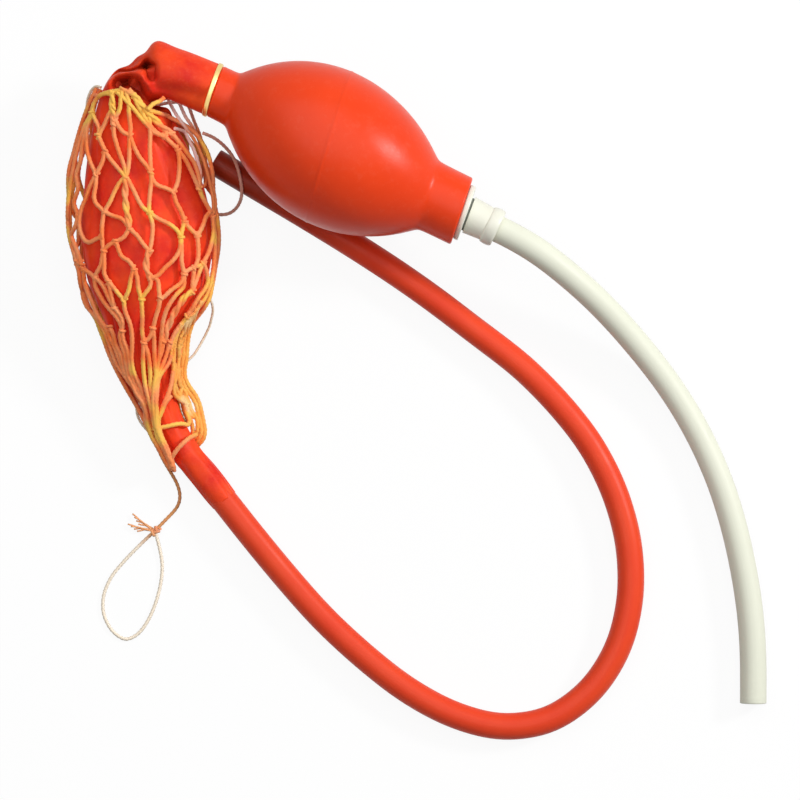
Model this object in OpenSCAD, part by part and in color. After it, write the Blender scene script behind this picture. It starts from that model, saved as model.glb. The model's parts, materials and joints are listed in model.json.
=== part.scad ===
// Rubber hand pump with a squeeze bulb, two ball check valves, a reservoir bag in a string net,
// a white intake hose and a red discharge hose. It lies on a flat surface, which is z = 0.
// Millimetres. +Z is up. The origin is under the middle of the pump and the bag.

/* [Pump bulb] */
// Greatest diameter of the squeeze bulb
bulb_dia = 54; // [48:1:60]
// Wall of the bulb at its belly
bulb_wall = 2.6; // [2:0.1:4]
// Radius of the long arc from the belly to the outlet neck
outlet_arc_r = 50; // [48:1:60]
// Radius of the long arc from the belly to the inlet neck
inlet_arc_r = 54; // [50:1:64]
// Outer diameter of the outlet neck
outlet_neck_dia = 18.2; // [17.6:0.2:21]
// Distance from the belly to the end of the outlet neck
outlet_neck_reach = 47; // [44:1:54]
// Outer diameter of the inlet neck
inlet_neck_dia = 24.2; // [22:0.2:27]
// Distance from the belly to the end of the inlet neck
inlet_neck_reach = 50.4; // [48:0.4:58]
// Turn of the bulb's body against the line of its two necks, because the rubber gives
body_turn = 2.8; // [0:0.4:4]

/* [Ball valves] */
// Diameter of both valve balls
ball_dia = 8; // [7:0.5:9]
// Diameter of the hole that a ball closes
seat_bore_dia = 6; // [5:0.25:6.5]
// Diameter of the chamber round a ball
chamber_dia = 10.6; // [10:0.2:11.6]
// How far a ball lifts off its seat
ball_lift = 2; // [1:0.25:3]
// Thickness of the cage that stops a ball
cage_thickness = 2; // [1.5:0.25:2.25]
// Diameter of the flow holes in a cage
cage_hole_dia = 2.5; // [1.5:0.25:2.5]
// Number of flow holes in a cage
cage_holes = 5; // [3:1:6]

/* [Outlet valve body] */
// Diameter of the two spigots of the brass body
outlet_spigot_dia = 14; // [13.5:0.25:15]
// Length of the spigot in the bulb
outlet_bulb_spigot = 11; // [9:0.5:13]
// Length of the spigot in the bag's neck
outlet_bag_spigot = 11.3; // [10.5:0.4:13]
// Diameter of the bright band between the two necks
band_dia = 19.2; // [18.8:0.2:22]
// Thickness of the bright band
band_thickness = 1.8; // [1.2:0.2:3]
// Distance from the spigot's mouth to the edge of the seat
outlet_seat_depth = 8; // [6:0.5:9]
// How far a barb stands out of its spigot
barb_height = 0.35; // [0.2:0.05:0.6]

/* [Inlet valve body] */
// Diameter of the spigot in the inlet neck
inlet_spigot_dia = 16; // [15:0.25:17]
// Length of the spigot in the inlet neck
inlet_spigot = 14.4; // [14:0.4:17]
// Diameter of the flange on the neck's end
flange_dia = 19.6; // [18.4:0.4:22]
// Thickness of the flange on the neck's end
flange_thickness = 2; // [1.6:0.2:3]
// Distance from the recess floor to the edge of the seat
inlet_seat_depth = 2; // [1.5:0.25:2.25]
// Diameter of the recess for the adapter's stub
stub_recess_dia = 9.3; // [8.5:0.1:10]
// Depth of the recess for the adapter's stub
stub_recess_depth = 3; // [2:0.25:3.25]

/* [Hose adapter] */
// Diameter of the collar where it meets the washer
collar_dia = 13.2; // [12.4:0.2:15]
// Diameter of the collar's waist behind the bead
collar_waist_dia = 12.2; // [11.4:0.2:13]
// Length of the collar
collar_length = 11.4; // [10:0.4:14]
// Diameter of the bead round the hose socket
bead_dia = 14.6; // [14:0.2:17]
// Depth of the hose socket
socket_depth = 8; // [6:0.5:9]
// Thickness of the dark washer under the collar
washer_thickness = 0.7; // [0.5:0.1:1.2]
// Outer diameter of the dark washer
washer_dia = 11.8; // [10.6:0.2:13]

/* [Hoses] */
// Outer diameter of the white intake hose
intake_hose_dia = 9.4; // [8.8:0.1:10]
// Bore of the white intake hose
intake_bore_dia = 6; // [5:0.25:7]
// Outer diameter of the red discharge hose
discharge_hose_dia = 9.5; // [9:0.1:10.5]
// Bore of the red discharge hose
discharge_bore_dia = 6; // [5:0.25:7]
// Length of the straight end of a hose
hose_end_length = 12; // [8:1:13]
// Length of the tube that joins the bag's neck and the red hose
connector_length = 22; // [16:1:23]
// Wall of the tube that joins the bag's neck and the red hose
connector_wall = 0.8; // [0.5:0.1:1.4]

/* [Reservoir bag] */
// Width of the bag as it lies
bag_width = 47.6; // [42:0.4:52]
// Thickness of the bag as it lies half full
bag_thickness = 27; // [24:0.5:32]
// Wall of the bag
bag_wall = 1.2; // [0.8:0.1:2]
// Outer diameter of the bag's upper neck
upper_neck_dia = 18.6; // [18:0.2:22]
// Outer diameter of the bag's lower neck
lower_neck_dia = 10.8; // [10:0.2:12]

/* [Net] */
// Number of meshes round the bag
net_columns = 14; // [8:1:16]
// Number of rows of meshes along the bag
net_rows = 10; // [6:1:12]
// Thickness of the net's twine
twine_dia = 1.2; // [0.8:0.1:1.5]
// Length of a knot along the net
knot_length = 3; // [2:0.2:4]
// Width of a knot round the net
knot_width = 1.9; // [1.4:0.1:2.2]
// Room between the bag and the net
net_gap = 0.9; // [0.7:0.1:1.5]

/* [Drawstring] */
// Thickness of the drawstring and of the loose thread
string_dia = 1.2; // [0.8:0.1:1.5]
// Diameter of the knot in the drawstring
string_knot_dia = 3.8; // [3:0.2:5]
// Length of the frayed ends beyond the knot
frayed_length = 10; // [6:1:14]

/* [Layout] */
// Where the band's face on the bag side lies, left of the origin
band_left = 27; // [26:0.5:28]
// Where the band's face on the bag side lies, behind the origin
band_behind = 64.4; // [63.4:0.5:65.4]
// Turn of the pump, downwards to the right
pump_turn = 26; // [24:0.5:27]

/* [Hidden] */
$fn = 96;

// A cut runs this far past the face that it opens
cut_past = 0.1;
// Room between a ball at rest and its seat, and between a lifted ball and its cage
ball_gap = 0.15;

// Colours
red_rubber = [0.89, 0.24, 0.13];
bag_rubber = [0.88, 0.27, 0.14];
hose_rubber = [0.82, 0.19, 0.14];
brass = [0.87, 0.68, 0.32];
steel = [0.78, 0.78, 0.80];
white_plastic = [0.93, 0.93, 0.88];
white_rubber = [0.90, 0.90, 0.84];
dark_rubber = [0.35, 0.35, 0.33];
orange_twine = [0.96, 0.55, 0.20];
pale_twine = [0.88, 0.72, 0.55];

// ---- Pump axis ------------------------------------------------------------------------------
// The pump lies with its axis level. Distances along it start at the band's face on the bag side.

pump_height = bulb_dia / 2;
belly_at = band_thickness + outlet_neck_reach;
inlet_end_at = belly_at + inlet_neck_reach;
flange_face_at = inlet_end_at + flange_thickness;
collar_at = flange_face_at + washer_thickness;
socket_mouth_at = collar_at + collar_length;
socket_floor_at = socket_mouth_at - socket_depth;

function pump_point(s) = [
    -band_left + s * cos(pump_turn),
    band_behind - s * sin(pump_turn),
    pump_height
];

module at_pump(s) {
    translate(pump_point(s))
        rotate([0, 90, -pump_turn])
            children();
}

// The liquid runs from the inlet to the bag, so a valve is drawn with +Z along its flow
module along_flow(s) {
    at_pump(s)
        rotate([180, 0, 0])
            children();
}

// ---- Pump bulb ------------------------------------------------------------------------------

profile_steps = 32;
// The necks' bores are cut this far past their ends, which takes off the body's two tips
tip_room = 10;

// Radius of the body at distance s from the belly: a long arc each way, sunk by the wall
function body_r(s, wall) =
    let (arc_r = s < 0 ? outlet_arc_r : inlet_arc_r)
    bulb_dia / 2 - arc_r + sqrt((arc_r - wall) * (arc_r - wall) - s * s);
// Distance from the belly at which an arc of radius arc_r, sunk by the wall, meets the axis
function body_reach(arc_r, wall) =
    sqrt((arc_r - wall) * (arc_r - wall) - (arc_r - bulb_dia / 2) * (arc_r - bulb_dia / 2));

module bulb_body(wall) {
    low = -body_reach(outlet_arc_r, wall);
    high = body_reach(inlet_arc_r, wall);
    arc = [for (i = [1 : profile_steps - 1])
        let (s = low + (high - low) * i / profile_steps)
        [body_r(s, wall), s]];
    rotate([body_turn, 0, 0])
        rotate_extrude()
            polygon(concat([[0, low]], arc, [[0, high]]));
}

module pump_bulb() {
    color(red_rubber)
        at_pump(belly_at)
            difference() {
                union() {
                    bulb_body(0);
                    translate([0, 0, -outlet_neck_reach])
                        cylinder(d = outlet_neck_dia, h = outlet_neck_reach);
                    cylinder(d = inlet_neck_dia, h = inlet_neck_reach);
                }
                bulb_body(bulb_wall);
                translate([0, 0, -outlet_neck_reach - tip_room])
                    cylinder(d = outlet_spigot_dia, h = outlet_neck_reach + tip_room);
                cylinder(d = inlet_spigot_dia, h = inlet_neck_reach + tip_room);
            }
}

// ---- Ball valves ----------------------------------------------------------------------------

ball_r = ball_dia / 2;
seat_r = seat_bore_dia / 2;
chamber_r = chamber_dia / 2;
// The seat is a 45 degree cone, so the ball's centre stands over the cone's point
function ball_rest(seat_depth) = seat_depth - seat_r + (ball_r + ball_gap) * sqrt(2);
function cage_at(seat_depth) = ball_rest(seat_depth) + ball_r + ball_lift + ball_gap;

module valve_passage(seat_depth, length) {
    cone = chamber_r - seat_r;
    translate([0, 0, -cut_past])
        cylinder(r = seat_r, h = seat_depth + 2 * cut_past);
    translate([0, 0, seat_depth])
        cylinder(r1 = seat_r, r2 = chamber_r, h = cone);
    translate([0, 0, seat_depth + cone])
        cylinder(r = chamber_r, h = length - seat_depth - cone + cut_past);
}

module valve_ball(seat_depth) {
    color(steel)
        translate([0, 0, ball_rest(seat_depth)])
            sphere(r = ball_r);
}

// Solid rim of a cage outside its flow holes
cage_rim = 0.5;

module ball_cage(seat_depth, tint) {
    hole_ring_r = chamber_r - cage_rim - cage_hole_dia / 2;
    color(tint)
        translate([0, 0, cage_at(seat_depth)])
            difference() {
                cylinder(r = chamber_r, h = cage_thickness);
                for (i = [0 : cage_holes - 1])
                    rotate(i * 360 / cage_holes)
                        translate([hole_ring_r, 0, -cut_past])
                            cylinder(d = cage_hole_dia, h = cage_thickness + 2 * cut_past);
            }
}

// Where the two barbs of a spigot start, and how long each is, as shares of the spigot's length
barb_starts = [0.15, 0.5];
barb_share = 0.25;

// A spigot along +Z with two barbs, each rising towards the face that stops it
module barbed_spigot(dia, length) {
    cylinder(d = dia, h = length);
    for (start = barb_starts)
        translate([0, 0, start * length])
            cylinder(d1 = dia, d2 = dia + 2 * barb_height, h = barb_share * length);
}

// ---- Outlet valve ---------------------------------------------------------------------------

outlet_length = outlet_bulb_spigot + band_thickness + outlet_bag_spigot;
outlet_mouth_at = band_thickness + outlet_bulb_spigot;

module outlet_valve_body() {
    color(brass)
        along_flow(outlet_mouth_at)
            difference() {
                union() {
                    barbed_spigot(outlet_spigot_dia, outlet_bulb_spigot);
                    translate([0, 0, outlet_bulb_spigot])
                        cylinder(d = band_dia, h = band_thickness);
                    translate([0, 0, outlet_length])
                        rotate([180, 0, 0])
                            barbed_spigot(outlet_spigot_dia, outlet_bag_spigot);
                }
                valve_passage(outlet_seat_depth, outlet_length);
            }
}

module outlet_valve_ball() {
    along_flow(outlet_mouth_at)
        valve_ball(outlet_seat_depth);
}

module outlet_ball_cage() {
    along_flow(outlet_mouth_at)
        ball_cage(outlet_seat_depth, brass);
}

// ---- Inlet valve and hose adapter -----------------------------------------------------------

recess_floor_at = flange_face_at - stub_recess_depth;
inlet_mouth_at = inlet_end_at - inlet_spigot;
inlet_passage = recess_floor_at - inlet_mouth_at;

module inlet_valve_body() {
    color(white_plastic)
        difference() {
            at_pump(inlet_mouth_at) {
                barbed_spigot(inlet_spigot_dia, inlet_spigot);
                translate([0, 0, inlet_spigot])
                    cylinder(d = flange_dia, h = flange_thickness);
            }
            along_flow(recess_floor_at)
                valve_passage(inlet_seat_depth, inlet_passage);
            at_pump(recess_floor_at)
                cylinder(d = stub_recess_dia, h = stub_recess_depth + cut_past);
        }
}

module inlet_valve_ball() {
    along_flow(recess_floor_at)
        valve_ball(inlet_seat_depth);
}

module inlet_ball_cage() {
    along_flow(recess_floor_at)
        ball_cage(inlet_seat_depth, white_plastic);
}

stub_clearance = 0.05;
stub_dia = stub_recess_dia - 2 * stub_clearance;

module adapter_washer() {
    color(dark_rubber)
        at_pump(flange_face_at)
            difference() {
                cylinder(d = washer_dia, h = washer_thickness);
                translate([0, 0, -cut_past])
                    cylinder(d = stub_recess_dia, h = washer_thickness + 2 * cut_past);
            }
}

bead_width = 3;
bead_steps = 8;

// The collar's outline: a taper to the waist, then the round bead at the socket's mouth
module collar_outline() {
    bead_start = collar_length - bead_width;
    bead = [for (i = [0 : bead_steps])
        [
            collar_waist_dia / 2 + (bead_dia - collar_waist_dia) / 2 * sin(180 * i / bead_steps),
            bead_start + bead_width * i / bead_steps
        ]];
    polygon(concat([[0, 0], [collar_dia / 2, 0]], bead, [[0, collar_length]]));
}

module hose_adapter() {
    stub_length = stub_recess_depth + washer_thickness;
    color(white_plastic)
        difference() {
            union() {
                at_pump(collar_at)
                    rotate_extrude()
                        collar_outline();
                at_pump(recess_floor_at)
                    cylinder(d = stub_dia, h = stub_length);
            }
            at_pump(recess_floor_at - cut_past)
                cylinder(d = seat_bore_dia, h = stub_length + collar_length);
            at_pump(socket_floor_at)
                cylinder(d = intake_hose_dia, h = socket_depth + cut_past);
        }
}

// ---- Swept skins ----------------------------------------------------------------------------
// A skin is a list of rings of points. Every ring has the same number of sides.

function unit(v) = v / norm(v);

function route_heading(route, i) =
    unit(route[min(i + 1, len(route) - 1)] - route[max(i - 1, 0)]);
function route_ring(route, i, r, sides) =
    let (
        heading = route_heading(route, i),
        side = unit(cross(heading, [0, 0, 1])),
        over = cross(side, heading)
    )
    [for (j = [0 : sides - 1])
        route[i] + r * cos(360 * j / sides) * side + r * sin(360 * j / sides) * over];
function route_skin(route, r, sides) = [for (i = [0 : len(route) - 1]) route_ring(route, i, r, sides)];

// Triangles between ring after ring. The points of the skin start at index first.
function skin_faces(rings, sides, first, inward) =
    [for (i = [0 : rings - 2], j = [0 : sides - 1])
        let (
            a = first + i * sides + j,
            b = first + i * sides + (j + 1) % sides,
            c = a + sides,
            d = b + sides
        )
        each inward ? [[a, d, b], [a, c, d]] : [[a, b, d], [a, d, c]]];
function rim_faces(sides, outer_first, inner_first, at_start) =
    [for (j = [0 : sides - 1])
        let (
            a = outer_first + j,
            b = outer_first + (j + 1) % sides,
            c = inner_first + j,
            d = inner_first + (j + 1) % sides
        )
        each at_start ? [[a, c, d], [a, d, b]] : [[a, d, c], [a, b, d]]];

module solid_skin(skin) {
    sides = len(skin[0]);
    rings = len(skin);
    polyhedron(
        [for (ring = skin) each ring],
        concat(
            skin_faces(rings, sides, 0, false),
            [[for (j = [sides - 1 : -1 : 0]) j]],
            [[for (j = [0 : sides - 1]) (rings - 1) * sides + j]]
        )
    );
}

module hollow_skin(outer, inner) {
    sides = len(outer[0]);
    rings = len(outer);
    inner_first = rings * sides;
    last = (rings - 1) * sides;
    polyhedron(
        [for (ring = concat(outer, inner)) each ring],
        concat(
            skin_faces(rings, sides, 0, false),
            skin_faces(rings, sides, inner_first, true),
            rim_faces(sides, 0, inner_first, true),
            rim_faces(sides, last, inner_first + last, false)
        )
    );
}

// ---- Hoses ----------------------------------------------------------------------------------

hose_sides = 12;
// The swept tube is this much slimmer and tighter than its round end, so that they join cleanly
end_step = 0.05;

// Both routes start where the hose leaves what holds it, and end at the free end
intake_points = [
    [86.4, 8.6, 26.2], [97.4, 0.5, 23.4], [107.5, -8, 19.2], [117, -17.4, 14.6],
    [125.7, -27.2, 10.6], [134, -37.6, 7.6], [141.5, -48.8, 5.6], [148, -60.8, 4.9],
    [153.4, -73.2, 4.75], [157.6, -86, 4.7], [160.8, -99, 4.7], [163.2, -112, 4.7],
    [164.8, -125, 4.7], [165.4, -138, 4.7], [165.4, -152, 4.7]
];
discharge_points = [
    [-23.4, -77.8, 5.4], [-11, -93.5, 5.4], [1, -108, 4.75], [13.5, -122, 4.75], [27, -134.5, 4.75],
    [41.5, -146, 4.75], [57.5, -155, 4.75], [75.5, -160, 4.75], [93.5, -157.5, 4.75],
    [108.5, -146.5, 4.75], [118, -131, 4.75], [122, -112.5, 4.75], [121, -94, 4.75],
    [116, -76.5, 4.75], [107.5, -60, 4.75], [96, -45.5, 4.75], [83, -32.5, 4.75], [68, -21, 4.75],
    [53, -9.5, 4.75], [38, 1, 4.75], [22.5, 11, 4.75], [7, 20.5, 4.75], [-9, 30, 4.75],
    [-25, 39.5, 4.75]
];

function last_of(list) = list[len(list) - 1];
function end_heading(route) = unit(last_of(route) - route[len(route) - 2]);
// A route whose last point is drawn back along its last leg
function drawn_back(route, length) =
    [for (i = [0 : len(route) - 1])
        i < len(route) - 1 ? route[i] : route[i] - length * end_heading(route)];

// A straight round end with a true bore, so that a fitting can be pushed in
module hose_end(route, dia, bore_dia) {
    heading = end_heading(route);
    translate(last_of(route) - hose_end_length * heading)
        rotate([0, 90, atan2(heading.y, heading.x)])
            difference() {
                cylinder(d = dia, h = hose_end_length);
                translate([0, 0, -cut_past])
                    cylinder(d = bore_dia, h = hose_end_length + 2 * cut_past);
            }
}

module hose(route, dia, bore_dia) {
    swept = drawn_back(route, hose_end_length);
    hollow_skin(
        route_skin(swept, dia / 2 - end_step, hose_sides),
        route_skin(swept, bore_dia / 2 - end_step, hose_sides)
    );
    hose_end(route, dia, bore_dia);
}

module intake_hose() {
    color(white_rubber)
        hose(
            concat([pump_point(socket_floor_at), pump_point(socket_mouth_at)], intake_points),
            intake_hose_dia,
            intake_bore_dia
        );
}

module discharge_hose() {
    color(hose_rubber)
        hose(discharge_points, discharge_hose_dia, discharge_bore_dia);
}

// ---- Reservoir bag --------------------------------------------------------------------------
// The bag is lofted through upright ribs. A rib's swell is 0 at a neck's width and 1 at the
// bag's full width, and its rest is 0 at the pump's height and 1 where the bag lies down.
// The two slacks are how far the net hangs off the bag on its outer and its inner side.

bag_sides = 20;
bag_floor = twine_dia + net_gap;
upper_neck_r = upper_neck_dia / 2;
lower_neck_r = lower_neck_dia / 2;
upper_wall = (upper_neck_dia - outlet_spigot_dia) / 2;
connector_dia = discharge_bore_dia;
lower_wall = (lower_neck_dia - connector_dia) / 2;
neck_heading = 180 - pump_turn;
hose_start = discharge_points[0];
hose_heading = atan2(
    discharge_points[1].y - hose_start.y,
    discharge_points[1].x - hose_start.x
);
hose_start_heading = [cos(hose_heading), sin(hose_heading), 0];
lower_neck_straight = 12;
lower_neck_start = hose_start - lower_neck_straight * hose_start_heading;
// Where the lower neck bends towards the hose, and its heading there
lower_neck_bend = [-35.4, -63, bag_floor / 2 + lower_neck_r];
lower_neck_bend_heading = 303;
neck_seat = pump_point(-outlet_bag_spigot);

// x, y, turn, swell across, swell in height, rest, wall, outer slack, inner slack
fold_ribs = [
    [-45.2, 69.3, 184, 0.08, -0.1, 0, upper_wall, 0, 0],
    [-49.5, 66.6, 207, 0.02, -0.2, 0.04, 1.8, 0, 0],
    [-53, 62.8, 235, 0.02, -0.3, 0.12, 1.5, 0, 0]
];
body_ribs = [
    [-54.1, 58.3, 257, 0.11, -0.2, 0.26, bag_wall, 0.3, 0],
    [-52.1, 50.4, 270, 0.42, 0.1, 0.46, bag_wall, 2.6, 4],
    [-50.9, 42.7, 271, 0.61, 0.42, 0.62, bag_wall, 3.7, 4.2],
    [-49.9, 34, 272, 0.77, 0.7, 0.8, bag_wall, 3.9, 2.8],
    [-48.8, 23.5, 273, 0.91, 0.9, 0.94, bag_wall, 3.5, 0.4],
    [-48.1, 11.2, 271, 1, 1, 1, bag_wall, 1.4, 0]
];
tail_ribs = [
    [-48, -1, 270, 0.9, 0.94, 1, bag_wall, 1.2, 0],
    [-47.1, -10.9, 270, 0.74, 0.84, 1, bag_wall, 1.6, 0],
    [-47.6, -20.3, 270, 0.5, 0.66, 1, bag_wall, 0.8, 0],
    [-47.6, -30.8, 274, 0.28, 0.42, 1, bag_wall, 0, 0],
    [-45.5, -40.6, 285, 0.12, 0.2, 1, bag_wall, 0, 0],
    [-42.9, -48.7, 291, 0.03, 0.06, 1, bag_wall, 0, 0],
    [-40.1, -55.3, 297, 0, 0, 1, 1.6, 0, 0]
];

function swollen(neck, full, share) = neck + (full - neck) * share;
function rib(r, neck) =
    let (high = swollen(neck, bag_thickness / 2, r[4]))
    [
        r[0], r[1],
        pump_height + (bag_floor + high - pump_height) * r[5],
        r[2], swollen(neck, bag_width / 2, r[3]), high, r[6], r[7], r[8]
    ];
function round_rib(p, heading, r, wall) = [p.x, p.y, p.z, heading, r, r, wall, 0, 0];

// Every rib as x, y, z, turn, half width, half height, wall, outer slack, inner slack
RIBS = concat(
    [
        round_rib(pump_point(0), neck_heading, upper_neck_r, upper_wall),
        round_rib(neck_seat, neck_heading, upper_neck_r, upper_wall)
    ],
    [for (r = fold_ribs) rib(r, upper_neck_r)],
    [for (r = body_ribs) rib(r, upper_neck_r)],
    [for (r = tail_ribs) rib(r, lower_neck_r)],
    [
        round_rib(lower_neck_bend, lower_neck_bend_heading, lower_neck_r, lower_wall),
        round_rib(lower_neck_start, hose_heading, lower_neck_r, lower_wall),
        round_rib(hose_start, hose_heading, lower_neck_r, lower_wall)
    ]
);

// A ring of the section of half width w and half height h at the place p
function section_ring(p, heading, w, h, sides) =
    [for (j = [0 : sides - 1])
        let (a = 360 * j / sides)
        p + w * cos(a) * [sin(heading), -cos(heading), 0] + [0, 0, h * sin(a)]];
function rib_ring(r, inset) =
    section_ring([r[0], r[1], r[2]], r[3], r[4] - inset, r[5] - inset, bag_sides);

module reservoir_bag() {
    color(bag_rubber)
        hollow_skin(
            [for (r = RIBS) rib_ring(r, 0)],
            [for (r = RIBS) rib_ring(r, r[6])]
        );
}

module hose_connector() {
    connector_bore_dia = connector_dia - 2 * connector_wall;
    color(brass)
        translate(hose_start - connector_length / 2 * hose_start_heading)
            rotate([0, 90, hose_heading])
                difference() {
                    cylinder(d = connector_dia, h = connector_length);
                    translate([0, 0, -cut_past])
                        cylinder(d = connector_bore_dia, h = connector_length + 2 * cut_past);
                }
}

// ---- Net ------------------------------------------------------------------------------------
// The net is one lattice over the bag's ribs. A knot is a small diamond with four corners, and
// each strand joins an edge of one knot to an edge of a knot in the next row, so the outer side,
// the inner side and the edges close into a single solid.

first_net_rib = 5;
last_net_rib = 17;
net_ribs = [for (i = [first_net_rib : last_net_rib]) RIBS[i]];

function rib_place(r) = [r[0], r[1], r[2]];
// Length along the net's ribs up to each rib
function rib_lengths(i = 0, so_far = 0) =
    i >= len(net_ribs)
        ? []
        : let (here = so_far + (i == 0 ? 0 : norm(rib_place(net_ribs[i]) - rib_place(net_ribs[i - 1]))))
          concat([here], rib_lengths(i + 1, here));
rib_at = rib_lengths();
net_length = last_of(rib_at);
function between_ribs(distance, column) =
    lookup(distance, [for (i = [0 : len(net_ribs) - 1]) [rib_at[i], net_ribs[i][column]]]);

// A point of the net at a distance along it and an angle round it, so far outside the bag
function net_point(distance, angle, outside) =
    let (
        heading = between_ribs(distance, 3),
        outer_slack = between_ribs(distance, 7) * (1 + cos(angle)) / 2,
        inner_slack = between_ribs(distance, 8) * (1 - cos(angle)) / 2,
        w = between_ribs(distance, 4) + outer_slack + inner_slack + outside,
        h = between_ribs(distance, 5) + outside
    )
    [for (c = [0 : 2]) between_ribs(distance, c)]
        + w * cos(angle) * [sin(heading), -cos(heading), 0]
        + [0, 0, h * sin(angle)];

column_step = 360 / net_columns;
row_step = (net_length - knot_length) / net_rows;
function knot_at(row) = knot_length / 2 + row * row_step;
function knot_angle(row, column) = (column + (row % 2) / 2) * column_step;
// Degrees round the net that a knot's half width takes at its row
function knot_half_angle(row, angle) =
    let (
        w = between_ribs(knot_at(row), 4) + net_gap,
        h = between_ribs(knot_at(row), 5) + net_gap
    )
    knot_width / 2 / norm([w * sin(angle), h * cos(angle)]) * 180 / PI;

// Corners of a knot: towards the mouth, on the right, towards the tail, on the left
function knot_corners(row, column, outside) =
    let (d = knot_at(row), a = knot_angle(row, column), half = knot_half_angle(row, a))
    [
        net_point(d - knot_length / 2, a, outside), net_point(d, a + half, outside),
        net_point(d + knot_length / 2, a, outside), net_point(d, a - half, outside)
    ];

function net_index(row, column, corner, layer) =
    ((row * net_columns + (column + net_columns) % net_columns) * 2 + layer) * 4 + corner;
MOUTH = 0;
RIGHT = 1;
TAIL = 2;
LEFT = 3;
INNER = 0;
OUTER = 1;

// The knot in the next row on the right or the left of this one
function next_column(row, column, side) =
    side == RIGHT ? column + row % 2 : column + row % 2 - 1;

function quad(a, b, c, d) = [[a, b, c], [a, c, d]];
// The wall between the inner and the outer side along an edge from corner a to corner b
function wall_quad(row_a, column_a, a, row_b, column_b, b) =
    quad(
        net_index(row_a, column_a, a, OUTER), net_index(row_b, column_b, b, OUTER),
        net_index(row_b, column_b, b, INNER), net_index(row_a, column_a, a, INNER)
    );

function knot_faces(row, column) =
    concat(
        quad(
            net_index(row, column, MOUTH, OUTER), net_index(row, column, RIGHT, OUTER),
            net_index(row, column, TAIL, OUTER), net_index(row, column, LEFT, OUTER)
        ),
        quad(
            net_index(row, column, MOUTH, INNER), net_index(row, column, LEFT, INNER),
            net_index(row, column, TAIL, INNER), net_index(row, column, RIGHT, INNER)
        )
    );

// A strand towards the right joins RIGHT-TAIL of its knot to MOUTH-LEFT of the next
function right_strand_faces(row, column) =
    let (next = next_column(row, column, RIGHT))
    concat(
        quad(
            net_index(row, column, TAIL, OUTER), net_index(row, column, RIGHT, OUTER),
            net_index(row + 1, next, MOUTH, OUTER), net_index(row + 1, next, LEFT, OUTER)
        ),
        quad(
            net_index(row, column, RIGHT, INNER), net_index(row, column, TAIL, INNER),
            net_index(row + 1, next, LEFT, INNER), net_index(row + 1, next, MOUTH, INNER)
        ),
        wall_quad(row + 1, next, MOUTH, row, column, RIGHT),
        wall_quad(row, column, TAIL, row + 1, next, LEFT)
    );

// A strand towards the left joins TAIL-LEFT of its knot to RIGHT-MOUTH of the next
function left_strand_faces(row, column) =
    let (next = next_column(row, column, LEFT))
    concat(
        quad(
            net_index(row, column, LEFT, OUTER), net_index(row, column, TAIL, OUTER),
            net_index(row + 1, next, RIGHT, OUTER), net_index(row + 1, next, MOUTH, OUTER)
        ),
        quad(
            net_index(row, column, TAIL, INNER), net_index(row, column, LEFT, INNER),
            net_index(row + 1, next, MOUTH, INNER), net_index(row + 1, next, RIGHT, INNER)
        ),
        wall_quad(row + 1, next, RIGHT, row, column, TAIL),
        wall_quad(row, column, LEFT, row + 1, next, MOUTH)
    );

module reservoir_net() {
    points = [for (row = [0 : net_rows], column = [0 : net_columns - 1], layer = [INNER, OUTER])
        each knot_corners(row, column, net_gap + layer * twine_dia)];
    knots = [for (row = [0 : net_rows], column = [0 : net_columns - 1])
        each knot_faces(row, column)];
    strands = [for (row = [0 : net_rows - 1], column = [0 : net_columns - 1])
        each concat(right_strand_faces(row, column), left_strand_faces(row, column))];
    mouth_edges = [for (column = [0 : net_columns - 1])
        each concat(
            wall_quad(0, column, RIGHT, 0, column, MOUTH),
            wall_quad(0, column, MOUTH, 0, column, LEFT)
        )];
    tail_edges = [for (column = [0 : net_columns - 1])
        each concat(
            wall_quad(net_rows, column, LEFT, net_rows, column, TAIL),
            wall_quad(net_rows, column, TAIL, net_rows, column, RIGHT)
        )];
    color(orange_twine)
        polyhedron(points, concat(knots, strands, mouth_edges, tail_edges));
}

cord_sides = 8;
mouth_cord_rings = 28;
cord_touch = 0.1;

// The cord through the net's mouth, round the bag's shoulder just before the first knots
function mouth_cord_place(angle) =
    net_point(0, angle, net_gap + twine_dia / 2)
        - (twine_dia / 2 + cord_touch) * [cos(net_ribs[0][3]), sin(net_ribs[0][3]), 0];
function mouth_cord_ring(angle) =
    let (
        heading = unit(mouth_cord_place(angle + 1) - mouth_cord_place(angle - 1)),
        along = [cos(net_ribs[0][3]), sin(net_ribs[0][3]), 0],
        out = cross(heading, along)
    )
    [for (j = [0 : cord_sides - 1])
        mouth_cord_place(angle)
            + twine_dia / 2 * (cos(360 * j / cord_sides) * along + sin(360 * j / cord_sides) * out)];

module net_mouth_cord() {
    ring_points = [for (i = [0 : mouth_cord_rings - 1]) each mouth_cord_ring(i * 360 / mouth_cord_rings)];
    count = len(ring_points);
    faces = [for (face = skin_faces(mouth_cord_rings + 1, cord_sides, 0, true))
        [for (index = face) index % count]];
    color(orange_twine)
        polyhedron(ring_points, faces);
}

// The cord that draws the net's tail in round the bag's lower neck
gather_rib = last_of(net_ribs);
gather_heading = gather_rib[3];
gather_ring_r = gather_rib[4] + net_gap + twine_dia / 2;
gather_place = rib_place(gather_rib)
    + (twine_dia / 2 + cord_touch) * [cos(gather_heading), sin(gather_heading), 0];

module net_gather_cord() {
    color(orange_twine)
        translate(gather_place)
            rotate([0, 90, gather_heading])
                rotate_extrude()
                    translate([gather_ring_r, 0])
                        circle(d = twine_dia);
}

// ---- Drawstring and loose thread ------------------------------------------------------------

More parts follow.
